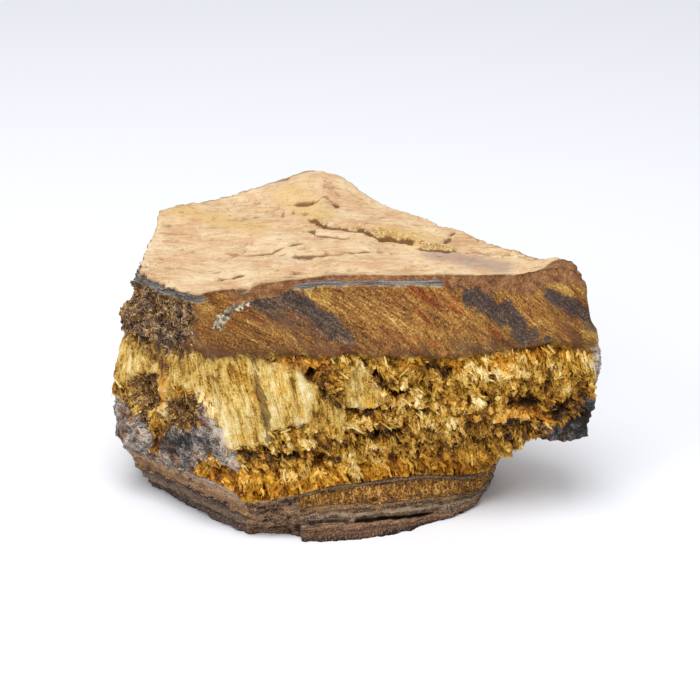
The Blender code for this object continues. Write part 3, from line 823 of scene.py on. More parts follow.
stone_values = {
    "spot": at_points(wall_spots, plan),
    "height": at_points(plain_wall[..., 2], TOP_HEIGHT),
    "layer": at_points(foot_layer(plain_wall), TOP_LAYER),
    "below_rim": at_points(below_rim, TOP_DEPTH),
    "banded": at_points(banded_share(plain_wall), 0.0),
    "crust": at_points(crust_rim, crust_share),
    "slate": at_points(slate_share(plain_wall, wall_spots), 0.0),
    "ledge": at_points(ledges, 0.0),
    "block": at_points(block_share(plain_wall), 0.0),
    "silky": at_points(silky, 0.0),
    "grainy": at_points(grainy_wall, 0.0),
    "lifted": at_points(lifted, top_relief - top_mean),
    "rust": at_points(rust_share(plain_wall, below_rim), 1.0),
    "tone": at_points(tone, 0.5),
    "gold": at_points(np.maximum.reduce([patch(plain_wall, o) for o in GOLD_PATCHES]), 0.0),
    "arc": at_points(near(plain_wall, ARC, 1.3, 0.5), 0.0),
    "grey": at_points(near(plain_wall, GREY_VEIN, 1.0, 0.5), 0.0),
    "left": at_points(1.0 - ease(plain_wall[..., 0], -20.4, -18.0), 0.0),
    "amber": at_points(amber, 0.0),
    "yellow": at_points(yellow, 0.0),
    "yellowed": at_points(nowhere, yellowed),
    "lilac": at_points(nowhere, lilac),
    "broken": at_points(nowhere, broken_edge),
}


def linear(colour):
    """An sRGB hex colour as linear red, green and blue, and full opacity."""
    shares = [int(colour[i:i + 2], 16) / 255.0 for i in (1, 3, 5)]
    return [c / 12.92 if c <= 0.04045 else ((c + 0.055) / 1.055) ** 2.4 for c in shares] + [1.0]


def add(tree, kind, inputs, stops=(), **settings):
    """Adds a node with its settings. Each input takes the output that it is linked from, the name of one of
    the stone's own values, a colour in hex or a plain value; stops are a ramp's places and colours. Gives
    the node's first output."""
    made = tree.nodes.new("ShaderNode" + kind)
    for name, value in settings.items():
        setattr(made, name, value)
    for name, value in inputs.items():
        if isinstance(value, str) and value[0] != "#":
            value = add(tree, "Attribute", {}, attribute_name=value).node.outputs["Fac"]
        if isinstance(value, bpy.types.NodeSocket):
            tree.links.new(value, made.inputs[name])
        else:
            made.inputs[name].default_value = linear(value) if isinstance(value, str) else value
    for number, (place, colour) in enumerate(stops):
        steps = made.color_ramp.elements
        step = steps[number] if number < 2 else steps.new(place)
        step.position = place
        step.color = linear(colour)
    return made.outputs[0]


def material(name, roughness, gloss):
    """A material with this roughness and gloss. Gives it, its node tree and its shader."""
    made = bpy.data.materials.new(name)
    made.use_nodes = True
    shader = made.node_tree.nodes["Principled BSDF"]
    shader.inputs["Roughness"].default_value = roughness
    shader.inputs["Specular IOR Level"].default_value = gloss
    return made, made.node_tree, shader


def place_on_stone(tree):
    """Where on the stone a point lies, in millimetres, as its mesh says."""
    return add(tree, "Attribute", {}, attribute_name="spot").node.outputs["Vector"]


def turned(tree, width, length, lean):
    """Places on the stone, counted in grains this wide and this long in millimetres, which lean this far
    below the level."""
    size = (width, width, length or width)
    turn = (0.0, math.radians(lean - 90.0), 0.0)
    inputs = {"Vector": place_on_stone(tree), "Rotation": turn, "Scale": size}
    return add(tree, "Mapping", inputs, vector_type="TEXTURE")


def grain(tree, width, length=None, lean=90.0, detail=3.0, roughness=0.6):
    """A soft pattern of grains of this size and lean, from 0 to 1."""
    places = turned(tree, width, length, lean)
    return add(tree, "TexNoise", {"Vector": places, "Scale": 1.0, "Detail": detail, "Roughness": roughness})


def fine_grit(tree):
    """Grit of a third of a millimetre, which speckles every bed."""
    return grain(tree, 0.3, detail=2.0, roughness=0.75)


def shards(tree, width, length=None, lean=90.0):
    """A tone picked at random for each angular shard of this size and lean, from 0 to 1."""
    cells = add(tree, "TexVoronoi", {"Vector": turned(tree, width, length, lean), "Scale": 1.0})
    return cells.node.outputs["Color"]


# A range's inputs are 0 the value, 1 and 2 its own range, 3 and 4 the range that it is carried to, which is
# 0 to 1 where none is given. The step between them is an S.
SMOOTH = {"interpolation_type": "SMOOTHSTEP"}


def about(tree, start, *terms):
    """A number moved up and down by patterns: start plus each pattern's distance from a half, times its
    weight."""
    total = start
    for pattern, weight in terms:
        moved = add(tree, "Math", {0: pattern, 1: weight, 2: -0.5 * weight}, operation="MULTIPLY_ADD")
        total = add(tree, "Math", {0: total, 1: moved}, operation="ADD")
    return total


def ragged_share(tree, value, *terms):
    """A patch whose soft edge is made ragged by patterns, which count most where its value is a half and
    not at all where it is 0 or 1."""
    outside = add(tree, "Math", {0: 1.0, 1: value}, operation="SUBTRACT")
    edge = add(tree, "Math", {0: value, 1: outside}, operation="MULTIPLY")
    moved = add(tree, "Math", {0: about(tree, 0.0, *terms), 1: edge}, operation="MULTIPLY")
    ragged = add(tree, "Math", {0: moved, 1: 4.0, 2: value}, operation="MULTIPLY_ADD")
    return add(tree, "MapRange", {0: ragged, 1: 0.36, 2: 0.64}, **SMOOTH)


def soft_share(tree, value, most, *terms):
    """A patch that fades slowly and is streaked or speckled by patterns: none of it where its value is 0."""
    there = add(tree, "MapRange", {0: value, 1: 0.0, 2: 0.3}, **SMOOTH)
    streaked = add(tree, "MapRange", {0: about(tree, value, *terms), 1: 0.1, 2: 0.85, 4: most}, **SMOOTH)
    return add(tree, "Math", {0: there, 1: streaked}, operation="MULTIPLY")


def layered(tree, colour, *layers):
    """Colours laid over one another in turn, each by how much it covers."""
    for over, cover in layers:
        colour = add(tree, "MixRGB", {0: cover, 1: colour, 2: over})
    return colour


def vein_colour(tree, grit):
    """Colours of the quartz fibres. Torn across, every shard has its own tone, gold, with painted shade in
    brown in the hollows and a painted highlight in cream where it stands out; split along, they are broad
    streaks of cream and gold with hairlines. Both are redder or yellower in patches."""
    # The tone value carries painted shade in hollows and painted highlight on what stands out.
    torn_tone = about(tree, "tone", (shards(tree, 0.4, 1.0, 60.0), 0.3), (shards(tree, 1.3, 2.2, 50.0), 0.42),
                      (grit, 1.0), (grain(tree, 0.5, 1.8, TORN_LEAN), 0.5),
                      (grain(tree, 2.6, 3.4, 50.0), 0.9))
    torn = add(tree, "ValToRGB", {0: torn_tone}, (
        (0.0, "#241608"), (1.0, "#F2DFA8"), (0.12, "#402809"), (0.26, "#66410C"), (0.4, "#8F6012"),
        (0.54, "#B48422"), (0.7, "#CFA33E"), (0.86, "#E2C070")))
    strands = grain(tree, 0.5, 5.0, SILKY_LEAN, 3.0)
    columns = grain(tree, 2.3, 7.0, SILKY_LEAN, 3.0)
    silk_tone = about(tree, "tone", (columns, 1.4), (strands, 0.8), (grain(tree, 0.22, 2.0, 83.0, 2.0), 0.7),
                      (grain(tree, 1.3, 2.0, 80.0, 4.0), 1.1), (grit, 1.2))
    silk = add(tree, "ValToRGB", {0: silk_tone}, (
        (0.0, "#4E340E"), (1.0, "#F6E6B8"), (0.14, "#805A18"), (0.27, "#A97E28"), (0.4, "#C8A046"),
        (0.55, "#DCB962"), (0.75, "#ECD08A")))
    hairlines = grain(tree, 0.7, 12.0, SILKY_LEAN, 1.0)
    hairlines = add(tree, "MapRange", {0: hairlines, 1: 0.32, 2: 0.38, 3: 0.5, 4: 0.0}, **SMOOTH)
    colour = layered(tree, torn, (layered(tree, silk, ("#6E4A1A", hairlines)), "silky"))
    patches = add(tree, "MapRange", {0: grain(tree, 3.0, 5.0, 70.0), 1: 0.5, 2: 0.68, 4: 0.5}, **SMOOTH)
    amber = add(tree, "Math", {0: patches, 1: "amber"}, operation="MAXIMUM")
    colour = add(tree, "MixRGB", {0: amber, 1: colour, 2: "#EFCB80"}, blend_type="MULTIPLY")
    yellow = about(tree, "yellow", (grain(tree, 3.5, 5.5, 68.0), 3.5))
    yellow = add(tree, "MapRange", {0: yellow, 1: 0.1, 2: 0.8, 4: 0.75}, **SMOOTH)
    return add(tree, "MixRGB", {0: yellow, 1: colour, 2: "#FFDC50"}, blend_type="MULTIPLY")


def dense_colour(tree, grit):
    """Colours of the dense bed: brown and gold streaks along its leaning fibres, rusty or dusky in patches,
    with a crust of pale quartz and a lower edge darkened partly by its own colour, partly by painted shade."""
    streaks = grain(tree, 0.45, 4.0, DENSE_LEAN, 4.0, 0.75)
    fine = grain(tree, 0.2, 2.0, DENSE_LEAN, 2.0)
    broad = grain(tree, 2.2, 10.0, DENSE_LEAN, 5.0, 0.7)
    tone = about(tree, 0.45, (streaks, 1.15), (fine, 0.8), (broad, 1.2), (grit, 1.5))
    colour = add(tree, "ValToRGB", {0: tone}, (
        (0.0, "#3A200C"), (1.0, "#DCBC78"), (0.2, "#623C16"), (0.4, "#875722"), (0.58, "#A27232"),
        (0.78, "#BE954A")))
    rusty = grain(tree, 2.6, 9.0, DENSE_LEAN, 4.0)
    rusty = add(tree, "MapRange", {0: rusty, 1: 0.5, 2: 0.66, 4: 0.7}, **SMOOTH)
    colour = add(tree, "MixRGB", {0: rusty, 1: colour, 2: "#E0914A"}, blend_type="MULTIPLY")
    dusk = grain(tree, 4.0, 12.0, DENSE_LEAN, 4.0)
    dusk = add(tree, "MapRange", {0: dusk, 1: 0.52, 2: 0.66, 4: 0.55}, **SMOOTH)
    gold = add(tree, "ValToRGB", {0: tone}, ((0.1, "#7E5318"), (0.9, "#DDBE74"), (0.5, "#AE8236")))
    golden = ragged_share(tree, "gold", (grit, 1.0), (streaks, 1.6))
    quartz = add(tree, "ValToRGB", {0: about(tree, 0.5, (shards(tree, 0.5), 1.0), (grit, 1.0))}, (
        (0.2, "#443828"), (0.85, "#DCD0B4"), (0.5, "#8E8068")))
    arc = ragged_share(tree, "arc", (grit, 1.6), (shards(tree, 0.7), 0.8))
    # Darker towards the bed's lower edge: partly its own colour, partly painted shade over the vein.
    low = about(tree, "height", (grain(tree, 3.0, 5.0, DENSE_LEAN, 4.0), 8.0), (grit, 2.0))
    low = add(tree, "MapRange", {0: low, 1: 34.2, 2: 38.0, 3: 0.7, 4: 0.0}, **SMOOTH)
    return layered(tree, colour, ("#644434", dusk), (gold, golden), (quartz, arc), ("#452C16", low))


def foot_colour(tree, grit):
    """Colours of the foot, bed by bed from the floor: a brown slab, grey leaves, a golden bed of upright
    fibres and a thin grey one, with dark lines between them. The left end is smoother and browner, and the
    arris between them is a mottled block. In front the slab is painted darker at the floor and in the crack
    over it, and every hollow nearly black: painted shade."""
    leaves = grain(tree, 11.0, 0.45, 91.0, 4.0, 0.65)
    mottle = grain(tree, 2.4, 1.1, 90.0, 4.0, 0.7)
    layer = about(tree, "layer", (leaves, 0.9), (mottle, 0.6), (grit, 0.4))
    bed = add(tree, "Math", {0: layer, 1: 0.25}, operation="MULTIPLY")
    # Painted shade: the first stop, at the floor, and the one at 0.235, in the crack over the slab.
    front = add(tree, "ValToRGB", {0: bed}, (
        (0.0, "#34221A"), (1.0, "#2A1F18"), (0.08, "#7A5642"), (0.14, "#4E3224"), (0.2, "#A27A5C"),
        (0.235, "#1C110B"), (0.27, "#A6886C"), (0.31, "#3C2C20"), (0.36, "#A68C72"), (0.41, "#38281A"),
        (0.46, "#9E7850"), (0.5, "#2C1A0C"), (0.54, "#9A6420"), (0.72, "#8C5C20"), (0.76, "#2C1C12"),
        (0.82, "#86684C"), (0.92, "#6E5644"), (0.965, "#20160F")))
    left = add(tree, "ValToRGB", {0: bed}, (
        (0.0, "#33271F"), (1.0, "#3E322C"), (0.12, "#584540"), (0.24, "#46362E"), (0.34, "#7A6452"),
        (0.44, "#5E4A40"), (0.49, "#2E241E"), (0.54, "#A47A58"), (0.63, "#806048"), (0.7, "#B29070"),
        (0.8, "#8C786C"), (0.92, "#A89690")))
    on_left = ragged_share(tree, "left", (mottle, 1.2))
    upright_tone = about(tree, 0.5, (grain(tree, 0.4, 2.6, 86.0), 2.0), (grit, 1.6), (mottle, 1.2))
    upright = add(tree, "ValToRGB", {0: upright_tone}, (
        (0.1, "#2C180A"), (0.95, "#E6C074"), (0.38, "#6E4312"), (0.58, "#A06A22"), (0.76, "#C28E3C")))
    over = add(tree, "MapRange", {0: layer, 1: 2.0, 2: 2.15}, **SMOOTH)
    under = add(tree, "MapRange", {0: layer, 1: 2.95, 2: 3.1, 3: 0.8, 4: 0.0}, **SMOOTH)
    in_front = add(tree, "MapRange", {0: "left", 1: 0.0, 2: 1.0, 3: 1.0, 4: 0.25}, **SMOOTH)
    golden = add(tree, "Math", {0: over, 1: under}, operation="MULTIPLY")
    golden = add(tree, "Math", {0: golden, 1: in_front}, operation="MULTIPLY")
    block_tone = about(tree, 0.5, (mottle, 1.6), (leaves, 1.8), (shards(tree, 0.6), 0.3), (grit, 1.0))
    patchy = add(tree, "ValToRGB", {0: block_tone}, (
        (0.1, "#241812"), (0.95, "#BCA084"), (0.34, "#5A3E2C"), (0.5, "#866248"), (0.64, "#7A6658"),
        (0.8, "#9A6A34")))
    block = ragged_share(tree, "block", (mottle, 1.4), (grit, 0.8))
    dark_grit = add(tree, "MapRange", {0: grit, 1: 0.33, 2: 0.46, 3: 0.7, 4: 0.0}, **SMOOTH)
    pale_grit = add(tree, "MapRange", {0: grit, 1: 0.55, 2: 0.7, 4: 0.6}, **SMOOTH)
    # Painted shade: nearly black where the relief is sunk.
    hollow_shade = add(tree, "MapRange", {0: "lifted", 1: -0.7, 2: -0.2, 3: 0.85, 4: 0.0}, **SMOOTH)
    return layered(tree, front, (left, on_left), (upright, golden), (patchy, block), ("#1E1713", dark_grit),
                   ("#C8AE86", pale_grit), ("#120B07", hollow_shade))


def crust_colour(tree, grit):
    """Colours of the weathered crust: pale tan sheets blotched with peach, yellow, lilac and rust, flecked
    with brown, golden along the upper sheet's broken edge, and painted shade in brown in their cracks."""
    streaks = grain(tree, 0.7, 6.0, 0.0, 4.0, 0.65)
    blotches = grain(tree, 9.0, detail=6.0, roughness=0.65)
    tone = about(tree, 0.52, (blotches, 1.3), (streaks, 0.8), (grit, 0.5))
    colour = add(tree, "ValToRGB", {0: tone}, (
        (0.1, "#B58A60"), (0.95, "#F6E4C2"), (0.32, "#D0A67A"), (0.5, "#E0BF94"), (0.68, "#EBD0A8")))
    peach = grain(tree, 5.0, 7.0, 0.0, 5.0, 0.65)
    peach = add(tree, "MapRange", {0: peach, 1: 0.52, 2: 0.64, 4: 0.5}, **SMOOTH)
    yellowed = soft_share(tree, "yellowed", 0.5, (blotches, 2.0), (streaks, 2.4), (grit, 1.0))
    bruised = soft_share(tree, "lilac", 0.6, (blotches, 1.6), (streaks, 2.4), (grit, 1.0))
    rusty = grain(tree, 4.0, 8.0, 0.0, 5.0, 0.7)
    rusty = add(tree, "MapRange", {0: rusty, 1: 0.58, 2: 0.7, 4: 0.6}, **SMOOTH)
    flecks = grain(tree, 0.45, 1.6, 0.0, 2.0)
    flecks = add(tree, "MapRange", {0: flecks, 1: 0.3, 2: 0.4, 3: 0.6, 4: 0.0}, **SMOOTH)
    golden = add(tree, "ValToRGB", {0: about(tree, 0.55, (grit, 1.8), (shards(tree, 0.6), 0.5))}, (
        (0.15, "#74481A"), (0.9, "#F0DCAA"), (0.5, "#C29448")))
    broken = soft_share(tree, "broken", 0.9, (grit, 0.9), (streaks, 0.9))
    # Painted shade: brown where the crust is sunk, in its cracks and pits.
    hollow_shade = about(tree, "lifted", (grit, 0.15))
    hollow_shade = add(tree, "MapRange", {0: hollow_shade, 1: -0.42, 2: -0.06, 3: 0.85, 4: 0.0}, **SMOOTH)
    return layered(tree, colour, ("#D5A27E", peach), ("#D6B064", yellowed), ("#9C8684", bruised),
                   ("#A87142", rusty), ("#8E6238", flecks), (golden, broken), ("#6A4424", hollow_shade))


def grain_colour(tree, grit):
    """Colours of the crumbled rock: black, brown and rusty grains with specks of gold and cream, and rusty
    ones all through the hollows below."""
    tone = about(tree, 0.48, (grit, 2.0), (shards(tree, 0.5), 0.4), (grain(tree, 1.4), 1.0),
                 (grain(tree, 4.0), 1.2))
    brown = add(tree, "ValToRGB", {0: tone}, (
        (0.05, "#0E0A08"), (1.0, "#E4CC9C"), (0.28, "#30241C"), (0.46, "#60493A"), (0.62, "#8E6F54"),
        (0.78, "#B59062")))
    rusty = add(tree, "ValToRGB", {0: tone}, (
        (0.05, "#1A100A"), (1.0, "#E8C888"), (0.3, "#4A2E14"), (0.5, "#7E5420"), (0.7, "#A87C38")))
    height = add(tree, "SeparateXYZ", {"Vector": place_on_stone(tree)}).node.outputs["Z"]
    in_hollows = add(tree, "MapRange", {0: height, 1: 28.0, 2: 31.0, 3: 0.85, 4: 0.0}, **SMOOTH)
    patches = add(tree, "MapRange", {0: grain(tree, 3.0, detail=4.0), 1: 0.45, 2: 0.58, 4: 0.9}, **SMOOTH)
    rusted = add(tree, "Math", {0: patches, 1: in_hollows}, operation="MAXIMUM")
    return layered(tree, brown, (rusty, rusted))


def slate_colour(tree, grit, pale):
    """Colours of the slate: dark warm grey in the dense bed; in the ledges lilac-grey, mottled with rust and
    with pale broken edges."""
    tone = about(tree, 0.5, (grit, 1.9), (grain(tree, 0.5, 3.0, DENSE_LEAN), 1.2),
                 (grain(tree, 3.0, 8.0, DENSE_LEAN), 0.9))
    dark = add(tree, "ValToRGB", {0: tone}, (
        (0.05, "#1E1819"), (1.0, "#9C7E5A"), (0.35, "#383030"), (0.55, "#4A3E3A"), (0.75, "#6C543C")))
    # The tone value brings in the vein's paler and darker lines, painted shade and light among them.
    tone = about(tree, 0.47, (grit, 1.6), (shards(tree, 0.9), 0.3),
                 (grain(tree, 2.2, 2.6, 40.0, 5.0, 0.7), 1.2), (grain(tree, 0.6, 6.0, 40.0), 1.0),
                 ("tone", 1.1))
    lilac = add(tree, "ValToRGB", {0: tone}, (
        (0.05, "#23221F"), (1.0, "#CFC2B0"), (0.3, "#444241"), (0.48, "#70655F"), (0.68, "#978A7E")))
    rusty = grain(tree, 2.0, 3.4, 60.0, 5.0, 0.7)
    rusty = add(tree, "MapRange", {0: rusty, 1: 0.49, 2: 0.58, 4: 0.8}, **SMOOTH)
    lilac = add(tree, "MixRGB", {0: rusty, 1: lilac, 2: "#E29C5C"}, blend_type="MULTIPLY")
    return layered(tree, dark, (lilac, pale))


# Rough tiger's eye: quartz that grew through fibres of blue asbestos and rusted gold. It is silky where it
# split along the fibres and glitters dully where it tore across them; the beds round it are dull stone.
rock, tree, shader = material("rough_tigers_eye", 0.5, 0.22)
ragged = grain(tree, 1.6, detail=6.0, roughness=0.7)
grit = fine_grit(tree)
height = about(tree, "height", (grain(tree, 6.0), 4.0), (ragged, 4.0), (grit, 2.0),
               (grain(tree, 0.6, 5.0, 60.0), 3.0))
in_dense = add(tree, "MapRange", {0: height, 1: 33.6, 2: 35.2}, **SMOOTH)
in_foot = about(tree, "layer", (ragged, 0.6), (grit, 0.3))
in_foot = add(tree, "MapRange", {0: in_foot, 1: 3.9, 2: 4.0, 3: 1.0, 4: 0.0}, **SMOOTH)
colour = layered(tree, vein_colour(tree, grit), (dense_colour(tree, grit), in_dense))
grey_fibres = ragged_share(tree, "grey", (ragged, 1.0), (grain(tree, 0.5, 7.0, 75.0), 1.5))
colour = add(tree, "MixRGB", {0: grey_fibres, 1: colour, 2: "#A69E90"}, blend_type="MULTIPLY")
grainy = ragged_share(tree, "grainy", (ragged, 2.0), (grit, 2.0))
ledge = ragged_share(tree, "ledge", (ragged, 2.0), (grit, 1.6))
slaty = soft_share(tree, "slate", 0.93, (ragged, 0.4), (grit, 0.6),
                   (grain(tree, 0.6, 8.0, DENSE_LEAN), 1.1))
slate_cover = add(tree, "Math", {0: ledge, 1: slaty}, operation="MAXIMUM")
colour = layered(tree, colour, (grain_colour(tree, grit), grainy), (foot_colour(tree, grit), in_foot),
                 (slate_colour(tree, grit, ledge), slate_cover))

# The thin bands under the crust: grey with pale lines, a cream one under it and rust over both.
band = about(tree, "below_rim", (ragged, 1.0), (grit, 0.4), (grain(tree, 5.0), 1.4))
banded = ragged_share(tree, "banded", (ragged, 1.5), (grit, 1.0))
cream = add(tree, "MapRange", {0: band, 1: 1.95, 2: 2.15, 3: 0.7, 4: 0.0}, **SMOOTH)
gaps = add(tree, "MapRange", {0: ragged, 1: 0.44, 2: 0.54}, **SMOOTH)
cream = add(tree, "Math", {0: cream, 1: gaps}, operation="MULTIPLY")
cream = add(tree, "Math", {0: cream, 1: banded}, operation="MULTIPLY")
grey_band = add(tree, "ValToRGB", {0: about(tree, 0.5, (grain(tree, 6.0, 0.22), 2.4), (grit, 1.0))}, (
    (0.1, "#433C39"), (0.95, "#B2AA9E"), (0.4, "#625B57"), (0.65, "#857E78")))
grey = add(tree, "MapRange", {0: band, 1: 1.7, 2: 1.85, 3: 1.0, 4: 0.0}, **SMOOTH)
grey = add(tree, "Math", {0: grey, 1: banded}, operation="MULTIPLY")
rust = add(tree, "ValToRGB", {0: about(tree, 0.5, (ragged, 1.6), (grit, 1.2))}, (
    (0.1, "#4A2C14"), (0.95, "#C09466"), (0.36, "#774C2A"), (0.62, "#986A42")))
rusted = ragged_share(tree, "rust", (ragged, 1.5), (grit, 1.5))
colour = layered(tree, colour, ("#BFAC7E", cream), (grey_band, grey), (rust, rusted),
                 (crust_colour(tree, grit), "crust"))
tree.links.new(colour, shader.inputs["Base Color"])

dull = add(tree, "MapRange", {0: "silky", 1: 0.0, 2: 1.0, 3: 0.5, 4: 0.36}, **SMOOTH)
for cover, dullness in ((in_dense, 0.5), (slate_cover, 0.6), (in_foot, 0.7), ("crust", 0.85)):
    dull = add(tree, "Mix", {"Factor": cover, 2: dull, 3: dullness})
tree.links.new(about(tree, dull, (grit, 0.25)), shader.inputs["Roughness"])


def fibre_bump(tree):
    """Fine relief: upright fibres in the vein, leaning ones in the dense bed, grit everywhere."""
    upright = about(tree, 0.0, (grain(tree, 0.45, 5.0, SILKY_LEAN), 1.0), (grain(tree, 0.5, 1.2, 60.0), 1.0))
    leaning = about(tree, 0.0, (grain(tree, 0.35, 5.0, DENSE_LEAN), 1.5))
    fibres = add(tree, "Mix", {"Factor": in_dense, 2: upright, 3: leaning})
    flat = add(tree, "MapRange", {0: "crust", 1: 0.0, 2: 1.0, 3: 1.0, 4: 0.1}, **SMOOTH)
    fibres = add(tree, "Math", {0: fibres, 1: flat}, operation="MULTIPLY")
    return about(tree, fibres, (grit, 1.2))


bump = add(tree, "Bump", {"Height": fibre_bump(tree), "Strength": 0.8, "Distance": 0.25 * MM})
tree.links.new(bump, shader.inputs["Normal"])

flat_faces = np.concatenate([((torn > 0.5) | (grainy_wall > 0.5))[:-1].ravel(),
                             np.zeros(len(top_faces) + 1, dtype=bool)])
stone = mesh_piece("stone_visual", points, faces, stone_values, ~flat_faces)
stone.data.materials.append(rock)
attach(stone, "root")
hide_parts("stone")

# ---------------------------------------------------------------------------------------------------------
# Chips and splinters of the torn vein: the ends of thousands of quartz fibres, snapped off as the hammer
# tore the vein across its grain. Chips lie every way, half sunk in the rock; in places whole fibres hang.

PLATES = 350
PLATE_SIZES = ((1.2, 2.8), (0.5, 1.3), (0.25, 0.5))  # mm: the range of length, width and thickness
CHIPS = 8500
CHIP_SIZES = ((0.7, 2.8), (0.22, 0.95), (0.12, 0.35))
HANGING = 2500
HANGING_SIZES = ((1.2, 3.4), (0.18, 0.4), (0.12, 0.3))
FIBRE_LEAN = 70.0  # degrees below the level
SUNK = 0.15  # of its thickness: how deep each splinter's middle lies
SCATTER = 0.08  # mm off its point of the wall
CORNERS = 10  # of one splinter


def direction(leans):
    """The way down fibres that lean this far below the level, towards the right."""
    turns = np.radians(leans)
    return np.stack([np.cos(turns), np.zeros_like(turns), -np.sin(turns)], axis=-1)


def pick(chance, count, random):
    """Rows and columns of points of the wall, picked as often as their chance and their share of its area
    say."""
    across = np.linalg.norm(np.roll(wall, -1, axis=1) - wall, axis=-1)
    up = np.linalg.norm(np.gradient(wall, axis=0), axis=-1)
    odds = np.clip(chance, 0.0, None) * across * up
    odds[0], odds[-1] = 0.0, 0.0
    picked = random.choice(odds.size, count, p=odds.ravel() / odds.sum())
    return np.unravel_index(picked, odds.shape)


def splinters(places, along, out, sizes, shoulder, random):
    """Closed splinters: each is a bar that runs along its fibre, with a ring of four corners to either side
    of its middle, at this share of its length, and a skewed point beyond each ring."""
    out = out - along * (out * along).sum(-1, keepdims=True)
    out /= np.linalg.norm(out, axis=-1, keepdims=True)
    side = np.cross(along, out)
    length, width, thick = (sizes[:, axis, None] for axis in range(3))
    corners = []
    for end in (-1.0, 1.0):
        swell = random.uniform(0.6, 1.1, (len(places), 1))
        middle = places + along * length * shoulder * end
        for across, up in ((1.0, 0.0), (0.0, 1.0), (-1.0, 0.0), (0.0, -1.0)):
            corners.append(middle + swell * (side * width * across + out * thick * up) / 2.0)
    for end in (-1.0, 1.0):
        skew = random.uniform(-0.4, 0.4, (len(places), 2))
        tip = places + along * length * 0.5 * end
        corners.append(tip + side * width * skew[:, :1] + out * thick * skew[:, 1:])
    return np.stack(corners, axis=1)


def splinter_faces(count):
    """Faces of that many splinters: four sides, and four triangles to the point at each end."""
    faces = [(i, (i + 1) % 4, 4 + (i + 1) % 4, 4 + i) for i in range(4)]
    faces += [((i + 1) % 4, i, 8) for i in range(4)] + [(4 + i, 4 + (i + 1) % 4, 9) for i in range(4)]
    quads = np.array(faces[:4]) + CORNERS * np.arange(count)[:, None, None]
    triangles = np.array(faces[4:]) + CORNERS * np.arange(count)[:, None, None]
    return quads.reshape(-1, 4).tolist() + triangles.reshape(-1, 3).tolist()


def splinter_piece(name, chance, count, ranges, lean, swing, stray, seed, lift=0.0, shoulder=0.3, spread=0.1):
    """One object of splinters scattered over the wall. Each lies along the wall and the fibres' lean, but
    whole clumps swing from it, and each strays by a random turn, its lower end lifted out of the rock. It is
    a little lighter or darker than what it stands on; small ones are more common than large ones."""
    random = np.random.default_rng(seed)
    rows, columns = pick(chance, count, random)
    normal = outward(wall, 1)[rows, columns]
    along = direction(lean + swing * soft_noise(wall[rows, columns], 3.0, seed))
    along += stray * random.normal(size=(count, 3))
    along -= normal * (along * normal).sum(-1, keepdims=True)
    along /= np.linalg.norm(along, axis=-1, keepdims=True)
    along += normal * lift * random.uniform(0.3, 1.7, (count, 1))
    along /= np.linalg.norm(along, axis=-1, keepdims=True)
    low, high = np.array(ranges).T
    sizes = low + (high - low) * random.random((count, 3)) ** 1.6
    places = wall[rows, columns] - normal * sizes[:, 2:] * SUNK + SCATTER * random.normal(size=(count, 3))
    out = normal + 0.5 * stray * random.normal(size=(count, 3))
    bars = splinters(places, along, out, sizes, shoulder, random)
    # Each splinter takes the wall's tone where it stands, its painted highlight and shade with it.
    tones = tone[rows, columns] + spread * random.normal(size=count) + 0.02
    values = {
        "spot": (wall_spots[rows, columns][:, None] + bars - places[:, None]).reshape(-1, 3),
        "tone": np.repeat(np.clip(tones, 0.0, 1.0), CORNERS),
        "silky": np.repeat(silky[rows, columns], CORNERS),
        "amber": np.repeat(amber[rows, columns], CORNERS),
        "yellow": np.repeat(yellow[rows, columns], CORNERS),
    }
    return mesh_piece(name, bars.reshape(-1, 3), splinter_faces(count), values, False)


# Torn fibres: the same golden quartz, a little glossier, since each splinter is one clean break.
torn_fibres, tree, shader = material("torn_quartz_fibres", 0.45, 0.25)
tree.links.new(vein_colour(tree, fine_grit(tree)), shader.inputs["Base Color"])
bump = add(tree, "Bump", {"Height": grain(tree, 0.3, 2.0, FIBRE_LEAN), "Strength": 0.5, "Distance": 0.1 * MM})
tree.links.new(bump, shader.inputs["Normal"])

FIBROUS = (  # where fibres hang in the torn vein
    ((22.5, 35.0), (46.0, 35.0), (46.0, 30.6), (29.0, 31.2), (24.0, 31.8)),
    ((0.6, 18.8), (9.6, 18.8), (9.6, 13.6), (0.8, 14.0)),
    ((21.5, 19.6), (34.8, 19.6), (31.0, 15.0), (22.0, 13.4)),
    ((-19.0, 12.4), (22.0, 12.4), (22.0, 8.0), (-19.0, 8.0)),
)

bare = (1.0 - grainy_wall) * (1.0 - ledges)
facing = 0.45 + 0.75 * front_share(plain_wall)
fibrous = np.maximum.reduce([patch(plain_wall, outline, 0.8, 1.0) for outline in FIBROUS])
clear = ease(plain_wall[..., 2] - np.interp(plain_wall[..., 0], BED_PLACES, BED_TOPS[-1]), 0.5, 1.5)
torn_clear = torn * bare * clear * (1.0 - ease(plain_wall[..., 2], 33.4, 34.6))
plates = splinter_piece("torn_plates", torn_clear * facing * (1.0 - fibrous), PLATES, PLATE_SIZES,
                        45.0, 60.0, 0.35, 77, lift=0.2, shoulder=0.26, spread=0.06)
chips = splinter_piece("torn_chips", torn_clear * facing * (1.0 - 0.6 * fibrous), CHIPS, CHIP_SIZES,
                       FIBRE_LEAN, 60.0, 0.45, 71, lift=0.18, shoulder=0.36, spread=0.11)
hanging = splinter_piece("hanging_fibres", torn_clear * (0.12 + fibrous), HANGING, HANGING_SIZES,
                         78.0, 10.0, 0.12, 74, lift=0.1, spread=0.06)
for piece in (plates, chips, hanging):
    piece.data.materials.append(torn_fibres)
    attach(piece, "root")

# ---------------------------------------------------------------------------------------------------------
# Grains in the left face: stubby quartz crystals, black, brown and rusty, that stand every way where the
# rock crumbled. They are still grown fast to it.

GRAINS = 3000
GRAIN_SIZES = ((0.4, 1.0), (0.25, 0.7), (0.2, 0.45))

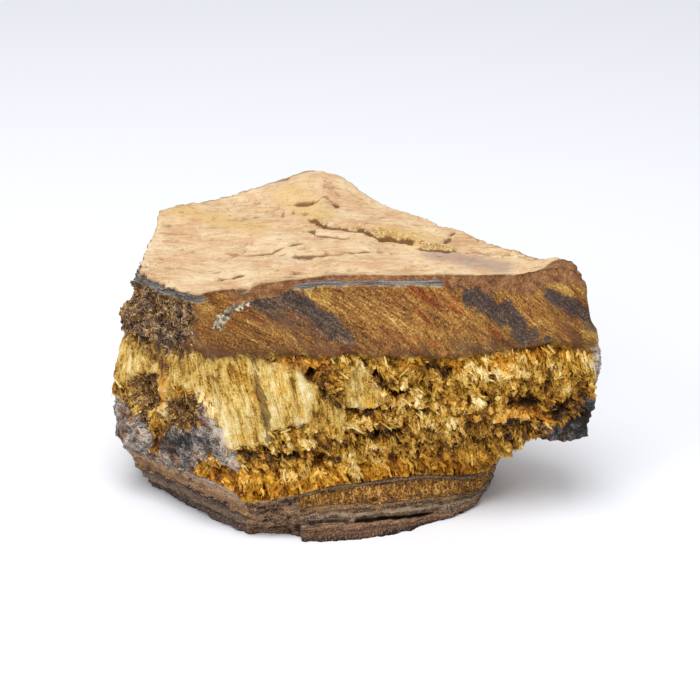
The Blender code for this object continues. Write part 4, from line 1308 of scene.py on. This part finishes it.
# Crumbled quartz: dark and rusty grains with bright facets, which glint singly.
dark_grains, tree, shader = material("crumbled_quartz", 0.45, 0.3)
tree.links.new(grain_colour(tree, fine_grit(tree)), shader.inputs["Base Color"])

grains = splinter_piece("crumbled_grains", grainy_wall * ease(below_rim, 1.6, 2.0), GRAINS,
                        GRAIN_SIZES, 60.0, 0.0, 1.0, 73, shoulder=0.4)
grains.data.materials.append(dark_grains)
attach(grains, "root")

# ---------------------------------------------------------------------------------------------------------
# The studio: a broad sheet of white card under a pale, even sky. A soft lamp hangs over the stone, a little
# in front of it, and a weaker one stands to the left, so that the shadow falls behind it and to the right.

FLOOR_SIZE = 6.0  # m
bpy.ops.mesh.primitive_plane_add(size=FLOOR_SIZE, location=(0.0, 0.0, 0.0))
floor = bpy.context.object
floor.name = "floor"
# White card: dull and faintly cool, so that the shadows on it are grey.
card, _, shader = material("white_card", 0.9, 0.5)
shader.inputs["Base Color"].default_value = (0.93, 0.94, 0.98, 1.0)
floor.data.materials.append(card)

sky = bpy.data.worlds.new("studio")
sky.use_nodes = True
sky.node_tree.nodes["Background"].inputs["Color"].default_value = (0.95, 0.97, 1.0, 1.0)
sky.node_tree.nodes["Background"].inputs["Strength"].default_value = 0.58
bpy.context.scene.world = sky


def soft_lamp(name, place, target, size, power):
    """A square lamp of this size in metres and power in watts, at a place in metres, turned to a target."""
    light = bpy.data.lights.new(name, "AREA")
    light.size = size
    light.energy = power
    lamp = bpy.data.objects.new(name, light)
    bpy.context.scene.collection.objects.link(lamp)
    lamp.location = place
    away = np.array(place) - np.array(target)
    flat = math.hypot(away[0], away[1])
    lamp.rotation_euler = (math.atan2(flat, away[2]), 0.0, math.atan2(away[0], -away[1]))


STONE_MIDDLE = (0.0, 0.0, 0.02)  # m
soft_lamp("top_lamp", (-0.05, -0.22, 0.67), STONE_MIDDLE, 0.4, 3.1)
soft_lamp("front_lamp", (-0.62, -0.6, 0.5), STONE_MIDDLE, 0.4, 2.4)

LENS = 100.0  # mm, on a sensor 36 mm wide
CAMERA_DISTANCE_BACK = 314.6  # mm in front of the stone's foremost point on the floor
CAMERA_HEIGHT = 178.6  # mm over the floor
CAMERA_DIP = 24.0  # degrees below the level
lens = bpy.data.cameras.new("camera")
lens.lens = LENS
lens.clip_start = 0.01
camera = bpy.data.objects.new("camera", lens)
bpy.context.scene.collection.objects.link(camera)
camera.location = (-MIDDLE[0] * MM, (-CAMERA_DISTANCE_BACK - MIDDLE[1]) * MM, CAMERA_HEIGHT * MM)
camera.rotation_euler = (math.radians(90.0 - CAMERA_DIP), 0.0, 0.0)
bpy.context.scene.camera = camera
bpy.context.scene.view_settings.view_transform = "Standard"
